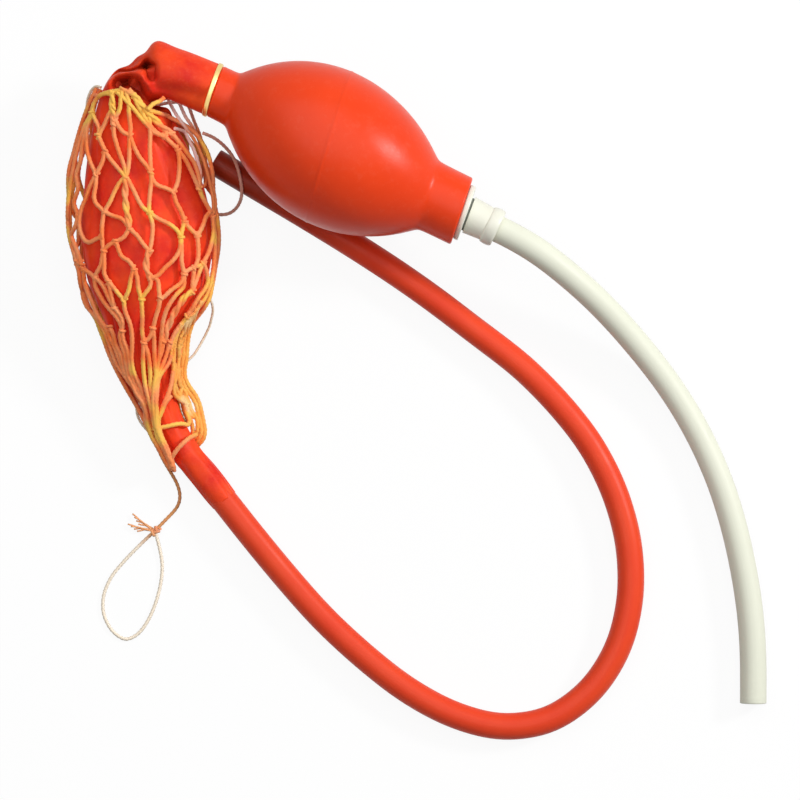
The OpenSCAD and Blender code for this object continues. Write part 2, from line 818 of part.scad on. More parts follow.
drawstring_points = [
    [-45.4, -60.2, 7.1], [-43.8, -64.8, 4.2], [-41.2, -69.4, 2], [-38.6, -73.6, 0.9], [-37, -78, 0.6],
    [-37.6, -82.4, 0.6], [-41.2, -86, 0.8], [-46, -91, 1.9], [-50, -94.6, 0.8], [-56, -100.6, 0.6],
    [-61.6, -107, 0.6], [-64.6, -113.6, 0.6], [-64.8, -120.4, 0.6], [-61.8, -126.6, 0.6],
    [-56.6, -130.4, 0.6], [-51.6, -127.6, 0.6], [-48, -122, 0.6], [-45.6, -116, 0.6],
    [-44, -109.6, 0.6], [-43.4, -103.4, 0.6], [-44.4, -97.6, 0.7], [-45.6, -93.4, 1.2]
];
string_knot_place = [-46, -91, string_knot_dia / 2];
loose_thread_points = [
    [-28.4, 48.6, 20], [-25.6, 47.8, 18.6], [-22.8, 46, 16.4], [-19.8, 43.2, 14], [-17.8, 40.4, 12],
    [-16.6, 37.4, 10.8], [-15.8, 34.2, 10.4], [-15.2, 31, 10], [-15, 28, 8], [-15.6, 25.6, 5.4],
    [-16.8, 23.4, 2.8], [-18.6, 21.6, 1], [-20.8, 20.6, 0.6], [-23.2, 20.6, 0.6], [-25.6, 21.2, 0.8]
];

module drawstring() {
    color(pale_twine)
        solid_skin(route_skin(drawstring_points, string_dia / 2, cord_sides));
}

// Headings of the two frayed ends, and how far each lies above or below the knot's middle
frayed_ends = [[150, 0.6 * string_dia], [173, -0.6 * string_dia]];

// A tight ball of twine with two frayed ends, one over the other
module drawstring_knot() {
    color(orange_twine) {
        translate(string_knot_place)
            sphere(d = string_knot_dia);
        for (end = frayed_ends)
            translate(string_knot_place + [0, 0, end[1]])
                rotate([0, 90, end[0]])
                    translate([0, 0, string_dia])
                        cylinder(d1 = string_dia, d2 = string_dia / 2, h = frayed_length);
    }
}

module loose_thread() {
    color(pale_twine)
        solid_skin(route_skin(loose_thread_points, string_dia / 2, cord_sides));
}

pump_bulb();
outlet_valve_body();
outlet_valve_ball();
outlet_ball_cage();
inlet_valve_body();
inlet_valve_ball();
inlet_ball_cage();
adapter_washer();
hose_adapter();
intake_hose();
reservoir_bag();
hose_connector();
discharge_hose();
reservoir_net();
net_mouth_cord();
net_gather_cord();
drawstring();
drawstring_knot();
loose_thread();
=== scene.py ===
"""Looks of a rubber hand pump as it lies on a table: squeeze bulb, ball valves, netted bag, hoses
and strings.

Lengths are metres, +Z is up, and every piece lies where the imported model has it.
"""

import json

import bpy
import numpy as np
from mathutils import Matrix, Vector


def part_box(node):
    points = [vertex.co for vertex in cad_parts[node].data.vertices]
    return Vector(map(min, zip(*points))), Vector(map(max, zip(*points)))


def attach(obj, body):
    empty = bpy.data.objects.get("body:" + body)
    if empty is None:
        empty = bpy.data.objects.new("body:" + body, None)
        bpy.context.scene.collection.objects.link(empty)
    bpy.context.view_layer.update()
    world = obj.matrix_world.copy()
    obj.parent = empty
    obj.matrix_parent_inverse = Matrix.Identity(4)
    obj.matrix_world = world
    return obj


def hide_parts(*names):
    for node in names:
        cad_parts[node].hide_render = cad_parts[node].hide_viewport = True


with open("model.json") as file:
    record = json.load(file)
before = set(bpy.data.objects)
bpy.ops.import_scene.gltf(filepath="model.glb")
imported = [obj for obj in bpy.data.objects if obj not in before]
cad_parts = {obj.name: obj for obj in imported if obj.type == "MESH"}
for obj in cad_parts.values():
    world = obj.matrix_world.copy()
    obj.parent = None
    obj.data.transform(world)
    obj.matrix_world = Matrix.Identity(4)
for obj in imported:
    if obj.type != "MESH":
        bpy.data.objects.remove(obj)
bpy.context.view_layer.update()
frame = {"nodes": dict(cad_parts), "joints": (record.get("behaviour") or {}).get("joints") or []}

# ---- Table, light and camera -------------------------------------------------------------------
# The pump lies on a white sheet under a wide lamp high at the back and a small one low on the
# right. The camera looks straight down. The sheet shows white to it and keeps a faint shadow.

TABLE_REACH = 3.0
WHITE = (1, 1, 1, 1)
SHEET_TINT = (0.46, 0.46, 0.45, 1)
SHADOW_SHARE = 0.08
FILL_STRENGTH = 0.15
# Power, size and place of the small lamp on the right and of the wide one at the back
LAMPS = [(9.5, 0.20, (1.0, 0.36, 0.66)), (28.5, 2.4, (-0.1, 0.68, 1.74))]
CAMERA_PLACE = (0.0406, -0.0448, 1.620)
CAMERA_SENSOR = 36.0
# Half the width of the view for each metre of distance
VIEW_SHARE = 0.0875


def fill_sockets(tree, target, sockets):
    """Gives each socket of a node a number, a colour or the output of another node."""
    for key, value in sockets.items():
        if isinstance(value, bpy.types.NodeSocket):
            tree.links.new(value, target.inputs[key])
        else:
            target.inputs[key].default_value = value


def node(tree, kind, sockets=None, **settings):
    """Adds a shader node with its settings and sockets."""
    made = tree.nodes.new("ShaderNode" + kind)
    for key, value in settings.items():
        setattr(made, key, value)
    fill_sockets(tree, made, sockets or {})
    return made


def seen_directly(tree):
    """1 for the camera, and for what gloss and glass show, so that they see the same white."""
    ray = node(tree, "LightPath").outputs
    mirrored = node(tree, "Math", {0: ray["Is Glossy Ray"], 1: ray["Is Transmission Ray"]})
    either = {0: ray["Is Camera Ray"], 1: mirrored.outputs[0]}
    return node(tree, "Math", either, use_clamp=True).outputs[0]


def white_sheet():
    """The sheet's material: mostly plain white where it is seen, and matte paper for the light."""
    made = bpy.data.materials.new("white_sheet")
    made.use_nodes = True
    tree = made.node_tree
    tree.nodes.clear()
    seen = seen_directly(tree)
    tint = node(tree, "Mix", {0: seen, 6: SHEET_TINT, 7: WHITE}, data_type="RGBA")
    paper = node(tree, "BsdfDiffuse", {"Color": tint.outputs[2]})
    glow = node(tree, "Emission", {"Color": WHITE, "Strength": 1.0})
    share = node(tree, "Math", {0: seen, 1: 1 - SHADOW_SHARE}, operation="MULTIPLY")
    both = node(tree, "MixShader", {0: share.outputs[0], 1: paper.outputs[0], 2: glow.outputs[0]})
    node(tree, "OutputMaterial", {"Surface": both.outputs[0]})
    return made


table_corners = np.array([(-1, -1, 0), (1, -1, 0), (1, 1, 0), (-1, 1, 0)]) * TABLE_REACH
sheet_mesh = bpy.data.meshes.new("table")
sheet_mesh.from_pydata(table_corners, [], [(0, 1, 2, 3)])
sheet_mesh.materials.append(white_sheet())
table = bpy.data.objects.new("table", sheet_mesh)
bpy.context.scene.collection.objects.link(table)

world = bpy.data.worlds.new("white_room")
world.use_nodes = True
room = world.node_tree
room.nodes.clear()
fill, backdrop = (node(room, "Background", {"Color": WHITE, "Strength": strength}).outputs[0]
                  for strength in (FILL_STRENGTH, 1.0))
room_light = node(room, "MixShader", {0: seen_directly(room), 1: fill, 2: backdrop})
node(room, "OutputWorld", {"Surface": room_light.outputs[0]})
bpy.context.scene.world = world
bpy.context.scene.view_settings.view_transform = "Standard"

for power, size, lamp_place in LAMPS:
    lamp_data = bpy.data.lights.new("soft_lamp", "AREA")
    lamp_data.energy = power
    lamp_data.size = size
    lamp = bpy.data.objects.new("soft_lamp", lamp_data)
    lamp.location = lamp_place
    lamp.rotation_euler = lamp.location.to_track_quat("Z", "Y").to_euler()
    bpy.context.scene.collection.objects.link(lamp)

camera_data = bpy.data.cameras.new("camera")
camera_data.sensor_width = CAMERA_SENSOR
camera_data.lens = CAMERA_SENSOR / 2 / VIEW_SHARE
camera = bpy.data.objects.new("camera", camera_data)
camera.location = CAMERA_PLACE
bpy.context.scene.collection.objects.link(camera)
bpy.context.scene.camera = camera

# ---- Squeeze bulb ------------------------------------------------------------------------------
# One hollow lemon of red rubber with two integral necks, moulded in halves that meet in a faint
# raised line round the belly. The body leans a little against its necks, because the rubber gives.

BULB_RED = (0.84, 0.046, 0.006)
# Shares of the red, green and blue that are left in the deeper patches of a new rubber
EVEN_RED = (0.86, 0.86, 0.86)
# Share of the colour that is left under the painted shade in the bag's folds
PAINTED_FOLD_SHADE = 0.24
BULB_SIDES = 128
OUTSIDE_RINGS = 300
INSIDE_RINGS = 60
OUTLET_NECK_REACH = 0.047
OUTLET_NECK_R = 0.0091
INLET_NECK_R = 0.0121
OUTLET_ARC_R = 0.050
INLET_ARC_R = 0.054
OUTLET_BORE_R = 0.007
INLET_BORE_R = 0.008
BULB_WALL = 0.0026
# How far the body leans against its necks, in degrees
BODY_LEAN = 2.8
SHOULDER_EASE = 0.0011
NECK_LIP = 0.0008
# The raised line: its place before the belly, its lean in degrees, its height and its width
SEAM_BEFORE_BELLY = 0.001
SEAM_LEAN = 9.0
SEAM_HEIGHT = 0.00016
SEAM_WIDTH = 0.0005
# The metal band between the bulb and the bag, and how far both ends of the bulb sit askew
BAND_WIDTH = 0.0018
BAND_SHIFT = 0.0018
BAND_CORE_R = 0.0055
CORE_EASE = 0.0014
NECK_LEAN = 0.13
LEAN_REACH = 0.005
LEAN_LIMIT_R = 0.018

pump_heading = -np.array(frame["joints"][0]["axis"])
pump_side = np.array([-pump_heading[1], pump_heading[0], 0])
upwards = np.array([0.0, 0.0, 1.0])
pump_origin = np.array(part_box("outlet_valve_ball")).mean(axis=0)


def pump_span(name):
    """Where a node of the model starts and ends along the pump's axis."""
    mesh = frame["nodes"][name].data
    corners = np.empty(len(mesh.vertices) * 3, np.float32)
    mesh.vertices.foreach_get("co", corners)
    along = (corners.reshape(-1, 3) - pump_origin) @ pump_heading
    return along.min(), along.max()


def pump_rings(along, radius, sides=BULB_SIDES):
    """Rings round the pump's axis. Each ring is its centre plus the radius times the cosine and
    sine of the angle round, to the pump's side and upwards. The radius may change round a ring."""
    turn = np.arange(sides) * 2 * np.pi / sides
    along = np.broadcast_to(np.reshape(along, (len(along), -1)), (len(along), sides))
    radius = np.broadcast_to(np.reshape(radius, (len(along), -1)), along.shape)
    centre = pump_origin + along[..., None] * pump_heading
    spoke = -np.cos(turn)[:, None] * pump_side + np.sin(turn)[:, None] * upwards
    return centre + radius[..., None] * spoke


def skin(name, tubes, run_closed=False):
    """A mesh over one tube of rings x sides x 3 points, or over a list of tubes. Squares join each
    ring to the next; a closed run joins its last ring to its first, and any other run gets a lid
    at both ends. The UV map holds the share of the way round, and the length along in metres."""
    tubes = tubes if isinstance(tubes, list) else [tubes]
    squares, lids, spreads, first = [], [], [], 0
    for rings in tubes:
        runs, sides, _ = rings.shape
        index = first + np.arange(runs * sides).reshape(runs, sides)
        first += runs * sides
        here = index if run_closed else index[:-1]
        there = np.roll(index, -1, axis=0)[:len(here)]
        corners = [here, there, np.roll(there, -1, axis=1), np.roll(here, -1, axis=1)]
        squares.append(np.stack(corners, axis=-1).reshape(-1, 4))
        lids += [] if run_closed else [index[0].tolist(), index[-1, ::-1].tolist()]
        middle = rings.mean(axis=1)
        steps = np.linalg.norm(np.roll(middle, -1, axis=0) - middle, axis=1)
        end = np.broadcast_to(np.cumsum(steps)[:len(here), None], here.shape)
        start = end - steps[:len(here), None]
        round_at = np.broadcast_to(np.arange(sides) / sides, here.shape)
        round_on = round_at + 1 / sides
        across = np.stack([round_at, round_at, round_on, round_on], axis=-1)
        along = np.stack([start, end, end, start], axis=-1)
        spreads.append(np.stack([across, along], axis=-1).ravel())
    squares = np.concatenate(squares).tolist()
    mesh = bpy.data.meshes.new(name)
    mesh.from_pydata(np.concatenate([rings.reshape(-1, 3) for rings in tubes]), [], squares + lids)
    uv = np.concatenate(spreads)
    spread = np.zeros(len(mesh.loops) * 2, np.float32)
    spread[:len(uv)] = uv
    mesh.uv_layers.new(name="run").data.foreach_set("uv", spread)
    smooth = np.ones(len(mesh.polygons), bool)
    smooth[len(squares):] = False
    mesh.polygons.foreach_set("use_smooth", smooth)
    made = bpy.data.objects.new(name, mesh)
    bpy.context.scene.collection.objects.link(made)
    return made


def paint(piece, material):
    """Gives a piece its one material."""
    piece.data.materials.clear()
    piece.data.materials.append(material)


def dress(piece, material, stands_for=()):
    """Gives a piece its material, and hides the nodes of the model that it stands for. It moves
    with the pump.
    """
    paint(piece, material)
    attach(piece, "pump")
    if stands_for:
        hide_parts(*stands_for)


def new_material(name):
    """A material, its node tree, and the place on the piece that its patterns follow."""
    made = bpy.data.materials.new(name)
    made.use_nodes = True
    return made, made.node_tree, node(made.node_tree, "TexCoord").outputs["Object"]


def noise(tree, place, scale, detail, rough=0.5):
    """Cloudy noise between 0 and 1 with `scale` cells to a unit of the place."""
    sockets = {"Vector": place, "Scale": scale, "Detail": detail, "Roughness": rough}
    return node(tree, "TexNoise", sockets).outputs[0]


def ranged(tree, value, low, high, start, end):
    """A number that goes from start to end while the value goes from low to high."""
    return node(tree, "MapRange", {0: value, 1: low, 2: high, 3: start, 4: end}).outputs[0]


def blended(tree, share, first, second):
    """A number between two others: the first for a share of 0, the second for 1."""
    return node(tree, "Mix", {0: share, 2: first, 3: second}).outputs[0]


def tinted(tree, share, first, second):
    """A colour between two others: the first for a share of 0, the second for 1."""
    first, second = (colour if isinstance(colour, bpy.types.NodeSocket) else [*colour, 1]
                     for colour in (first, second))
    return node(tree, "Mix", {0: share, 6: first, 7: second}, data_type="RGBA").outputs[2]


def finished(made, height, strength, depth, sockets):
    """Gives a material's shader its fine relief and its other sockets."""
    tree = made.node_tree
    relief = node(tree, "Bump", {"Strength": strength, "Distance": depth, "Height": height})
    shader = tree.nodes["Principled BSDF"]
    fill_sockets(tree, shader, {"Normal": relief.outputs[0], **sockets})
    return made


def rubber(name, red, roughness, gloss=0.22, patch=35.0, deeper=EVEN_RED, spread=0.5, bloom=0.10,
           shade_attribute=None):
    """Moulded rubber: the colour wanders in soft patches, sharper for a small spread, a dusty
    bloom pales it and dulls its shine in places, and a fine grain roughens it. An attribute, if
    one is named, says where painted shade darkens it in the folds."""
    made, tree, place = new_material(name)
    cloud = noise(tree, place, patch, 4.0, 0.55)
    dust = noise(tree, place, patch * 9, 5.0, 0.7)
    deep = [part * kept for part, kept in zip(red, deeper)]
    warm = [min(1, red[0] * 1.07), red[1] * 1.35, red[2] * 1.3]
    pale = [0.5 + 0.5 * red[0], 0.30 + 0.5 * red[1], 0.22 + 0.5 * red[2]]
    colour = tinted(tree, ranged(tree, cloud, 0.5 - spread, 0.5 + spread, 0.0, 1.0), deep, warm)
    colour = tinted(tree, ranged(tree, dust, 0.52, 0.85, 0.0, bloom), colour, pale)
    # Painted shade: where the named attribute is high, the colour is darkened as if in shade
    if shade_attribute:
        painted_fold_shade = node(tree, "Attribute", attribute_name=shade_attribute).outputs["Fac"]
        colour = tinted(tree, painted_fold_shade, colour, [part * PAINTED_FOLD_SHADE for part in red])
    dull = ranged(tree, dust, 0.3, 0.8, roughness - 0.06, roughness + 0.10)
    height = blended(tree, 0.35, noise(tree, place, 1900.0, 3.0), noise(tree, place, 190.0, 2.0))
    sockets = {"Base Color": colour, "Roughness": dull, "Specular IOR Level": gloss}
    return finished(made, height, 0.22, 0.00022, sockets)


def body_r(from_belly, sunk):
    """Radius of the lemon: a long arc each way from the belly, sunk by the wall for the inside."""
    arc = np.where(from_belly < 0, OUTLET_ARC_R, INLET_ARC_R)
    return bulb_r - arc + np.sqrt(np.maximum((arc - sunk) ** 2 - from_belly ** 2, 0))


def eased_max(a, b, ease):
    """The larger of two radii, with the corner between them rounded."""
    return (a + b + np.sqrt((a - b) ** 2 + ease ** 2)) / 2


def bulb_skin_r(from_belly, turn, sunk, outlet_r, inlet_r):
    """Radius at a distance from the belly and an angle round: the leaning lemon or the neck."""
    lean = np.sin(np.radians(BODY_LEAN)) * from_belly * np.cos(turn)
    neck = np.where(from_belly < 0, outlet_r, inlet_r)
    return eased_max(body_r(from_belly, sunk) + lean, neck, SHOULDER_EASE)


def moulding_line(from_belly, turn):
    """Height of the raised line: a narrow bell round the belly, leaning a little."""
    line_at = -SEAM_BEFORE_BELLY + np.tan(np.radians(SEAM_LEAN)) * bulb_r * np.cos(turn)
    return SEAM_HEIGHT * np.exp(-((from_belly - line_at) / SEAM_WIDTH) ** 2)


def askew(points):
    """The necks' ends, and the band and flange on them, sit a little askew: points near an end
    move along the pump's axis, more on one side than on the other, under a bell of the distance
    from it. What lies in the band's core stays, and so does all that is far off the axis."""
    ends = (band_middle, BAND_SHIFT, BAND_CORE_R), (bulb_end, 0, -BAND_CORE_R)
    for middle, shift, core in ends:
        away = points - pump_origin
        along, side = away @ pump_heading, away @ pump_side
        off_axis = np.sqrt(side ** 2 + away[..., 2] ** 2)
        share = np.clip((off_axis - core) / CORE_EASE, 0, 1) * (off_axis < LEAN_LIMIT_R)
        share = share * np.exp(-((along - middle) / LEAN_REACH) ** 2)
        points = points + ((shift - NECK_LEAN * side) * share)[..., None] * pump_heading
    return points


bulb_low, bulb_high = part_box("pump_bulb")
bulb_r = (bulb_high.z - bulb_low.z) / 2
bulb_start, bulb_end = pump_span("pump_bulb")
belly_at = bulb_start + OUTLET_NECK_REACH
bulb_turn = np.arange(BULB_SIDES) * 2 * np.pi / BULB_SIDES
outside_at = np.linspace(bulb_start + NECK_LIP, bulb_end - NECK_LIP, OUTSIDE_RINGS)
outside_at = outside_at[:, None] - belly_at
outside_r = bulb_skin_r(outside_at, bulb_turn, 0, OUTLET_NECK_R, INLET_NECK_R)
outside_r = outside_r + moulding_line(outside_at, bulb_turn)
lip_turn = np.linspace(0, np.pi / 2, 7)[1:, None]
inlet_lip_at = bulb_end - NECK_LIP * (1 - np.sin(lip_turn)) - belly_at
inlet_lip_r = outside_r[-1] - NECK_LIP * (1 - np.cos(lip_turn))
outlet_lip_at = bulb_start + NECK_LIP * (1 - np.sin(lip_turn[::-1])) - belly_at
outlet_lip_r = outside_r[0] - NECK_LIP * (1 - np.cos(lip_turn[::-1]))
inside_at = np.linspace(bulb_end, bulb_start, INSIDE_RINGS)[:, None] - belly_at
inside_r = bulb_skin_r(inside_at, bulb_turn, BULB_WALL, OUTLET_BORE_R, INLET_BORE_R)
bulb_at = np.concatenate([outside_at, inlet_lip_at, inside_at, outlet_lip_at])
bulb_radius = np.concatenate([outside_r, inlet_lip_r, inside_r, outlet_lip_r])
band_middle = bulb_start - BAND_WIDTH / 2
bulb = skin("bulb_skin", askew(pump_rings(bulb_at + belly_at, bulb_radius)), run_closed=True)
dress(bulb, rubber("bulb_rubber", BULB_RED, 0.35), stands_for=["pump_bulb"])

# ---- Outlet valve ------------------------------------------------------------------------------
# A turned brass body with a barbed spigot in the bulb's neck and one in the bag's. Only its bright
# band shows. A steel ball on a coned seat and a pressed-in cage make it a check valve.

BRASS_YELLOW = (0.95, 0.70, 0.27)
STEEL_GREY = (0.74, 0.75, 0.78)
BAND_R = 0.0096
OUTLET_SPIGOT_R = 0.007
BULB_SPIGOT = 0.011
BAG_SPIGOT = 0.0113
BARB = 0.00035
SEAT_BORE_R = 0.003
CHAMBER_R = 0.0053
OUTLET_SEAT_DEPTH = 0.008
EDGE_EASE = 0.0002
BAND_EASE = 0.0006
TURNED_SIDES = 96


def eased_corners(outline, ease):
    """A closed outline of (along, radius) points with each corner rounded by a short curve, which
    starts and ends at most `ease` from the corner and no further than halfway along a side."""
    outline = np.array(outline, float)
    ease = np.broadcast_to(ease, len(outline))[:, None]
    before, after = np.roll(outline, 1, axis=0), np.roll(outline, -1, axis=0)
    back = np.linalg.norm(before - outline, axis=1, keepdims=True)
    on = np.linalg.norm(after - outline, axis=1, keepdims=True)
    start = outline + (before - outline) * np.minimum(ease / back, 0.5)
    end = outline + (after - outline) * np.minimum(ease / on, 0.5)
    share = np.linspace(0, 1, 5)[None, :, None]
    curve = (1 - share) ** 2 * start[:, None] + 2 * share * (1 - share) * outline[:, None]
    return (curve + share ** 2 * end[:, None]).reshape(-1, 2)


def turned(name, outline, ease=EDGE_EASE):
    """A piece turned round the pump's axis from a closed outline, drawn outside first."""
    profile = eased_corners(outline, ease)
    rings = pump_rings(profile[:, 0], profile[:, 1:], TURNED_SIDES)
    return skin(name, askew(rings), run_closed=True)


def barbs(start, length, spigot_r):
    """Outline of a spigot with two barbs, from its mouth to the face that stops it."""
    shares = [0.15, 0.40, 0.40, 0.50, 0.75, 0.75]
    rises = [0, BARB, 0, 0, BARB, 0]
    return [(start + length * share, spigot_r + rise) for share, rise in zip(shares, rises)]


def metal(name, tint, roughness, tarnish):
    """Turned metal: fine scratches of the tool, and a thin uneven tarnish that dulls it."""
    made, tree, place = new_material(name)
    stain = noise(tree, place, 420.0, 4.0)
    colour = tinted(tree, stain, [part * tarnish for part in tint], tint)
    dull = ranged(tree, stain, 0.0, 1.0, roughness + 0.12, roughness - 0.06)
    sockets = {"Base Color": colour, "Roughness": dull, "Metallic": 1.0}
    return finished(made, noise(tree, place, 4200.0, 2.0), 0.15, 0.00008, sockets)


brass = metal("brass", BRASS_YELLOW, 0.32, 0.82)
valve_start, valve_end = pump_span("outlet_valve_body")
band_start = valve_start + BAG_SPIGOT
band_end = band_start + BAND_WIDTH
seat_at = valve_end - OUTLET_SEAT_DEPTH
cone = CHAMBER_R - SEAT_BORE_R
bag_barbs = barbs(valve_start, BAG_SPIGOT, OUTLET_SPIGOT_R)
bulb_barbs = [(valve_end - at, r) for at, r in reversed(barbs(0, BULB_SPIGOT, OUTLET_SPIGOT_R))]
outlet_outline = [
    (valve_start, OUTLET_SPIGOT_R), *bag_barbs, (band_start, OUTLET_SPIGOT_R),
    (band_start, BAND_R), (band_end, BAND_R), (band_end, OUTLET_SPIGOT_R),
    *bulb_barbs, (valve_end, OUTLET_SPIGOT_R), (valve_end, SEAT_BORE_R),
    (seat_at, SEAT_BORE_R), (seat_at - cone, CHAMBER_R), (valve_start, CHAMBER_R),
]
outlet_ease = [BAND_EASE if r == BAND_R else EDGE_EASE for _, r in outlet_outline]
outlet_body = turned("outlet_body", outlet_outline, outlet_ease)
dress(outlet_body, brass, stands_for=["outlet_valve_body"])

steel = metal("ball_steel", STEEL_GREY, 0.12, 0.93)
for name in ("outlet_valve_ball", "inlet_valve_ball"):
    paint(frame["nodes"][name], steel)
paint(frame["nodes"]["outlet_ball_cage"], brass)

# ---- Inlet valve and hose adapter --------------------------------------------------------------
# Two white plastic mouldings. The valve body's flange lies on the bulb's inlet neck; a thin dark
# washer parts it from the adapter's collar, whose rolled bead is the mouth of the hose socket.

PLASTIC_WHITE = (0.80, 0.80, 0.71)
FLANGE_R = 0.0098
FLANGE_WIDTH = 0.002
INLET_SPIGOT_R = 0.008
INLET_SPIGOT = 0.0144
RECESS_R = 0.00465
RECESS_DEPTH = 0.003
INLET_SEAT_DEPTH = 0.002
STUB_R = 0.0046
COLLAR_R = 0.0066
WAIST_R = 0.0061
COLLAR_LENGTH = 0.0114
BEAD_R = 0.0068
BEAD_WIDTH = 0.0044
SOCKET_DEPTH = 0.008
WASHER_R = 0.0059
WASHER_GREY = (0.22, 0.21, 0.19)
INTAKE_HOSE_R = 0.0047


def white_moulding(name, white, roughness):
    """White plastic: slightly yellowed in patches, with the faint ripple of the mould."""
    made, tree, place = new_material(name)
    cloud = noise(tree, place, 90.0, 4.0)
    colour = tinted(tree, cloud, [white[0] * 0.95, white[1] * 0.94, white[2] * 0.88], white)
    dull = ranged(tree, cloud, 0.0, 1.0, roughness + 0.08, roughness - 0.05)
    sockets = {"Base Color": colour, "Roughness": dull, "Specular IOR Level": 0.5}
    return finished(made, noise(tree, place, 700.0, 3.0), 0.15, 0.00015, sockets)


white_plastic = white_moulding("white_plastic", PLASTIC_WHITE, 0.34)
inlet_start, flange_face = pump_span("inlet_valve_body")
recess_floor = flange_face - RECESS_DEPTH
flange_back = flange_face - FLANGE_WIDTH
inlet_seat = recess_floor - INLET_SEAT_DEPTH
inlet_outline = [
    (inlet_start, INLET_SPIGOT_R), *barbs(inlet_start, INLET_SPIGOT, INLET_SPIGOT_R),
    (flange_back, INLET_SPIGOT_R), (flange_back, FLANGE_R), (flange_face, FLANGE_R),
    (flange_face, RECESS_R), (recess_floor, RECESS_R), (recess_floor, SEAT_BORE_R),
    (inlet_seat, SEAT_BORE_R), (inlet_seat - cone, CHAMBER_R), (inlet_start, CHAMBER_R),
]
inlet_ease = [3 * EDGE_EASE if r == FLANGE_R else EDGE_EASE for _, r in inlet_outline]
inlet_body = turned("inlet_body", inlet_outline, inlet_ease)
dress(inlet_body, white_plastic, stands_for=["inlet_valve_body"])
paint(frame["nodes"]["inlet_ball_cage"], white_plastic)

washer_start, collar_start = pump_span("adapter_washer")
socket_mouth = collar_start + COLLAR_LENGTH
socket_floor = socket_mouth - SOCKET_DEPTH
bead_turn = np.linspace(0, np.pi, 13)
bead_at = socket_mouth - BEAD_WIDTH * (1 + np.cos(bead_turn)) / 2
bead_r = WAIST_R + (BEAD_R - WAIST_R) * np.sin(bead_turn)
collar_outline = [
    (recess_floor, STUB_R), (collar_start, STUB_R), (collar_start, COLLAR_R),
    *zip(bead_at, bead_r), (socket_mouth, INTAKE_HOSE_R), (socket_floor, INTAKE_HOSE_R),
    (socket_floor, SEAT_BORE_R), (recess_floor, SEAT_BORE_R),
]
collar = turned("hose_collar", collar_outline)
dress(collar, white_plastic, stands_for=["hose_adapter"])

washer_outline = [
    (washer_start, WASHER_R), (collar_start, WASHER_R),
    (collar_start, RECESS_R), (washer_start, RECESS_R),
]
washer = turned("dark_washer", washer_outline)
dark_rubber = rubber("dark_rubber", WASHER_GREY, 0.6)
dress(washer, dark_rubber, stands_for=["adapter_washer"])

# ---- Intake hose -------------------------------------------------------------------------------
# White extruded rubber, pushed into the collar's socket. It comes down to the table in a quarter
# turn and runs to its bare end, which is cut square.

HOSE_WHITE = (0.78, 0.79, 0.67)
HOSE_CREAM = (0.71, 0.72, 0.59)
HOSE_BORE_R = 0.003
HOSE_SIDES = 40
HOSE_STEP = 0.0022
HOSE_EASE = 0.007
CUT_EASE = 0.0004
# A hose's painted shadow: the length that it comes in over and the length that it goes on for, how
# much it covers, and the share of the colour that is left under it
PAINTED_SHADOW_EASE = 0.045
PAINTED_SHADOW_REACH = 0.15
PAINTED_SHADOW_SHARE = 0.8
PAINTED_SHADOW_LEFT = 0.2
# From the socket's mouth to the free end, in millimetres
intake_points = [
    (86.4, 8.6, 26.2), (97.4, 0.5, 23.4), (107.5, -8, 19.2), (117, -17.4, 14.6),
    (125.7, -27.2, 10.6), (134, -37.6, 7.6), (141.5, -48.8, 5.6), (148, -60.8, 4.9),
    (153.4, -73.2, 4.75), (157.6, -86, 4.7), (160.8, -99, 4.7), (163.2, -112, 4.7),
    (164.8, -125, 4.7), (165.4, -138, 4.7), (165.4, -152, 4.7),
]


def lengths(route):
    """The length along a route up to each of its places."""
    return np.concatenate([[0], np.cumsum(np.linalg.norm(np.diff(route, axis=0), axis=1))])


def read_off(wanted, at, rows):
    """Rows at wanted lengths along a route, in between its rows at known lengths."""
    return np.stack([np.interp(wanted, at, column) for column in rows.T], axis=-1)


def eased_route(rows, step, ease):
    """Rows a step apart along a route of rows that start with a place. Each column is averaged
    with its neighbours under a bell curve `ease` wide, and the two ends stay where they are."""
    rows = np.array(rows, float)
    at = lengths(rows[:, :3])
    route = read_off(np.linspace(0, at[-1], int(round(at[-1] / step)) + 1), at, rows)
    reach = int(3 * ease / step)
    bell = np.exp(-0.5 * (np.arange(-reach, reach + 1) * step / ease) ** 2)
    before = 2 * route[0] - route[reach:0:-1]
    after = 2 * route[-1] - route[-2:-reach - 2:-1]
    longer = np.concatenate([before, route, after])
    columns = [np.convolve(column, bell / bell.sum(), "valid") for column in longer.T]
    return np.stack(columns, axis=1)


def hose_route(rows):
    """An eased route that still goes through its rows in the bends: each row is first moved out by
    what the easing takes off there."""
    eased = eased_route(rows, HOSE_STEP, HOSE_EASE)
    at = lengths(rows)
    reached = read_off(at, np.linspace(0, at[-1], len(eased)), eased)
    return eased_route(2 * rows - reached, HOSE_STEP, HOSE_EASE)


def unit(arrows):
    """Each arrow made one long."""
    return arrows / np.linalg.norm(arrows, axis=-1, keepdims=True)


def tube_rings(route, radius, sides):
    """Rings along a route, or along many at once. A ring lies across the route's heading: the
    place plus the radius times the cosine to the right and the sine upwards. The radius is one
    number, or one for each place and each angle."""
    heading = unit(np.gradient(route, axis=-2))
    right = unit(np.cross(heading, upwards))
    over = np.cross(right, heading)
    turn = (np.arange(sides) * 2 * np.pi / sides)[:, None]
    spoke = np.cos(turn) * right[..., None, :] + np.sin(turn) * over[..., None, :]
    return route[..., None, :] + np.broadcast_to(radius, spoke.shape[:-1])[..., None] * spoke


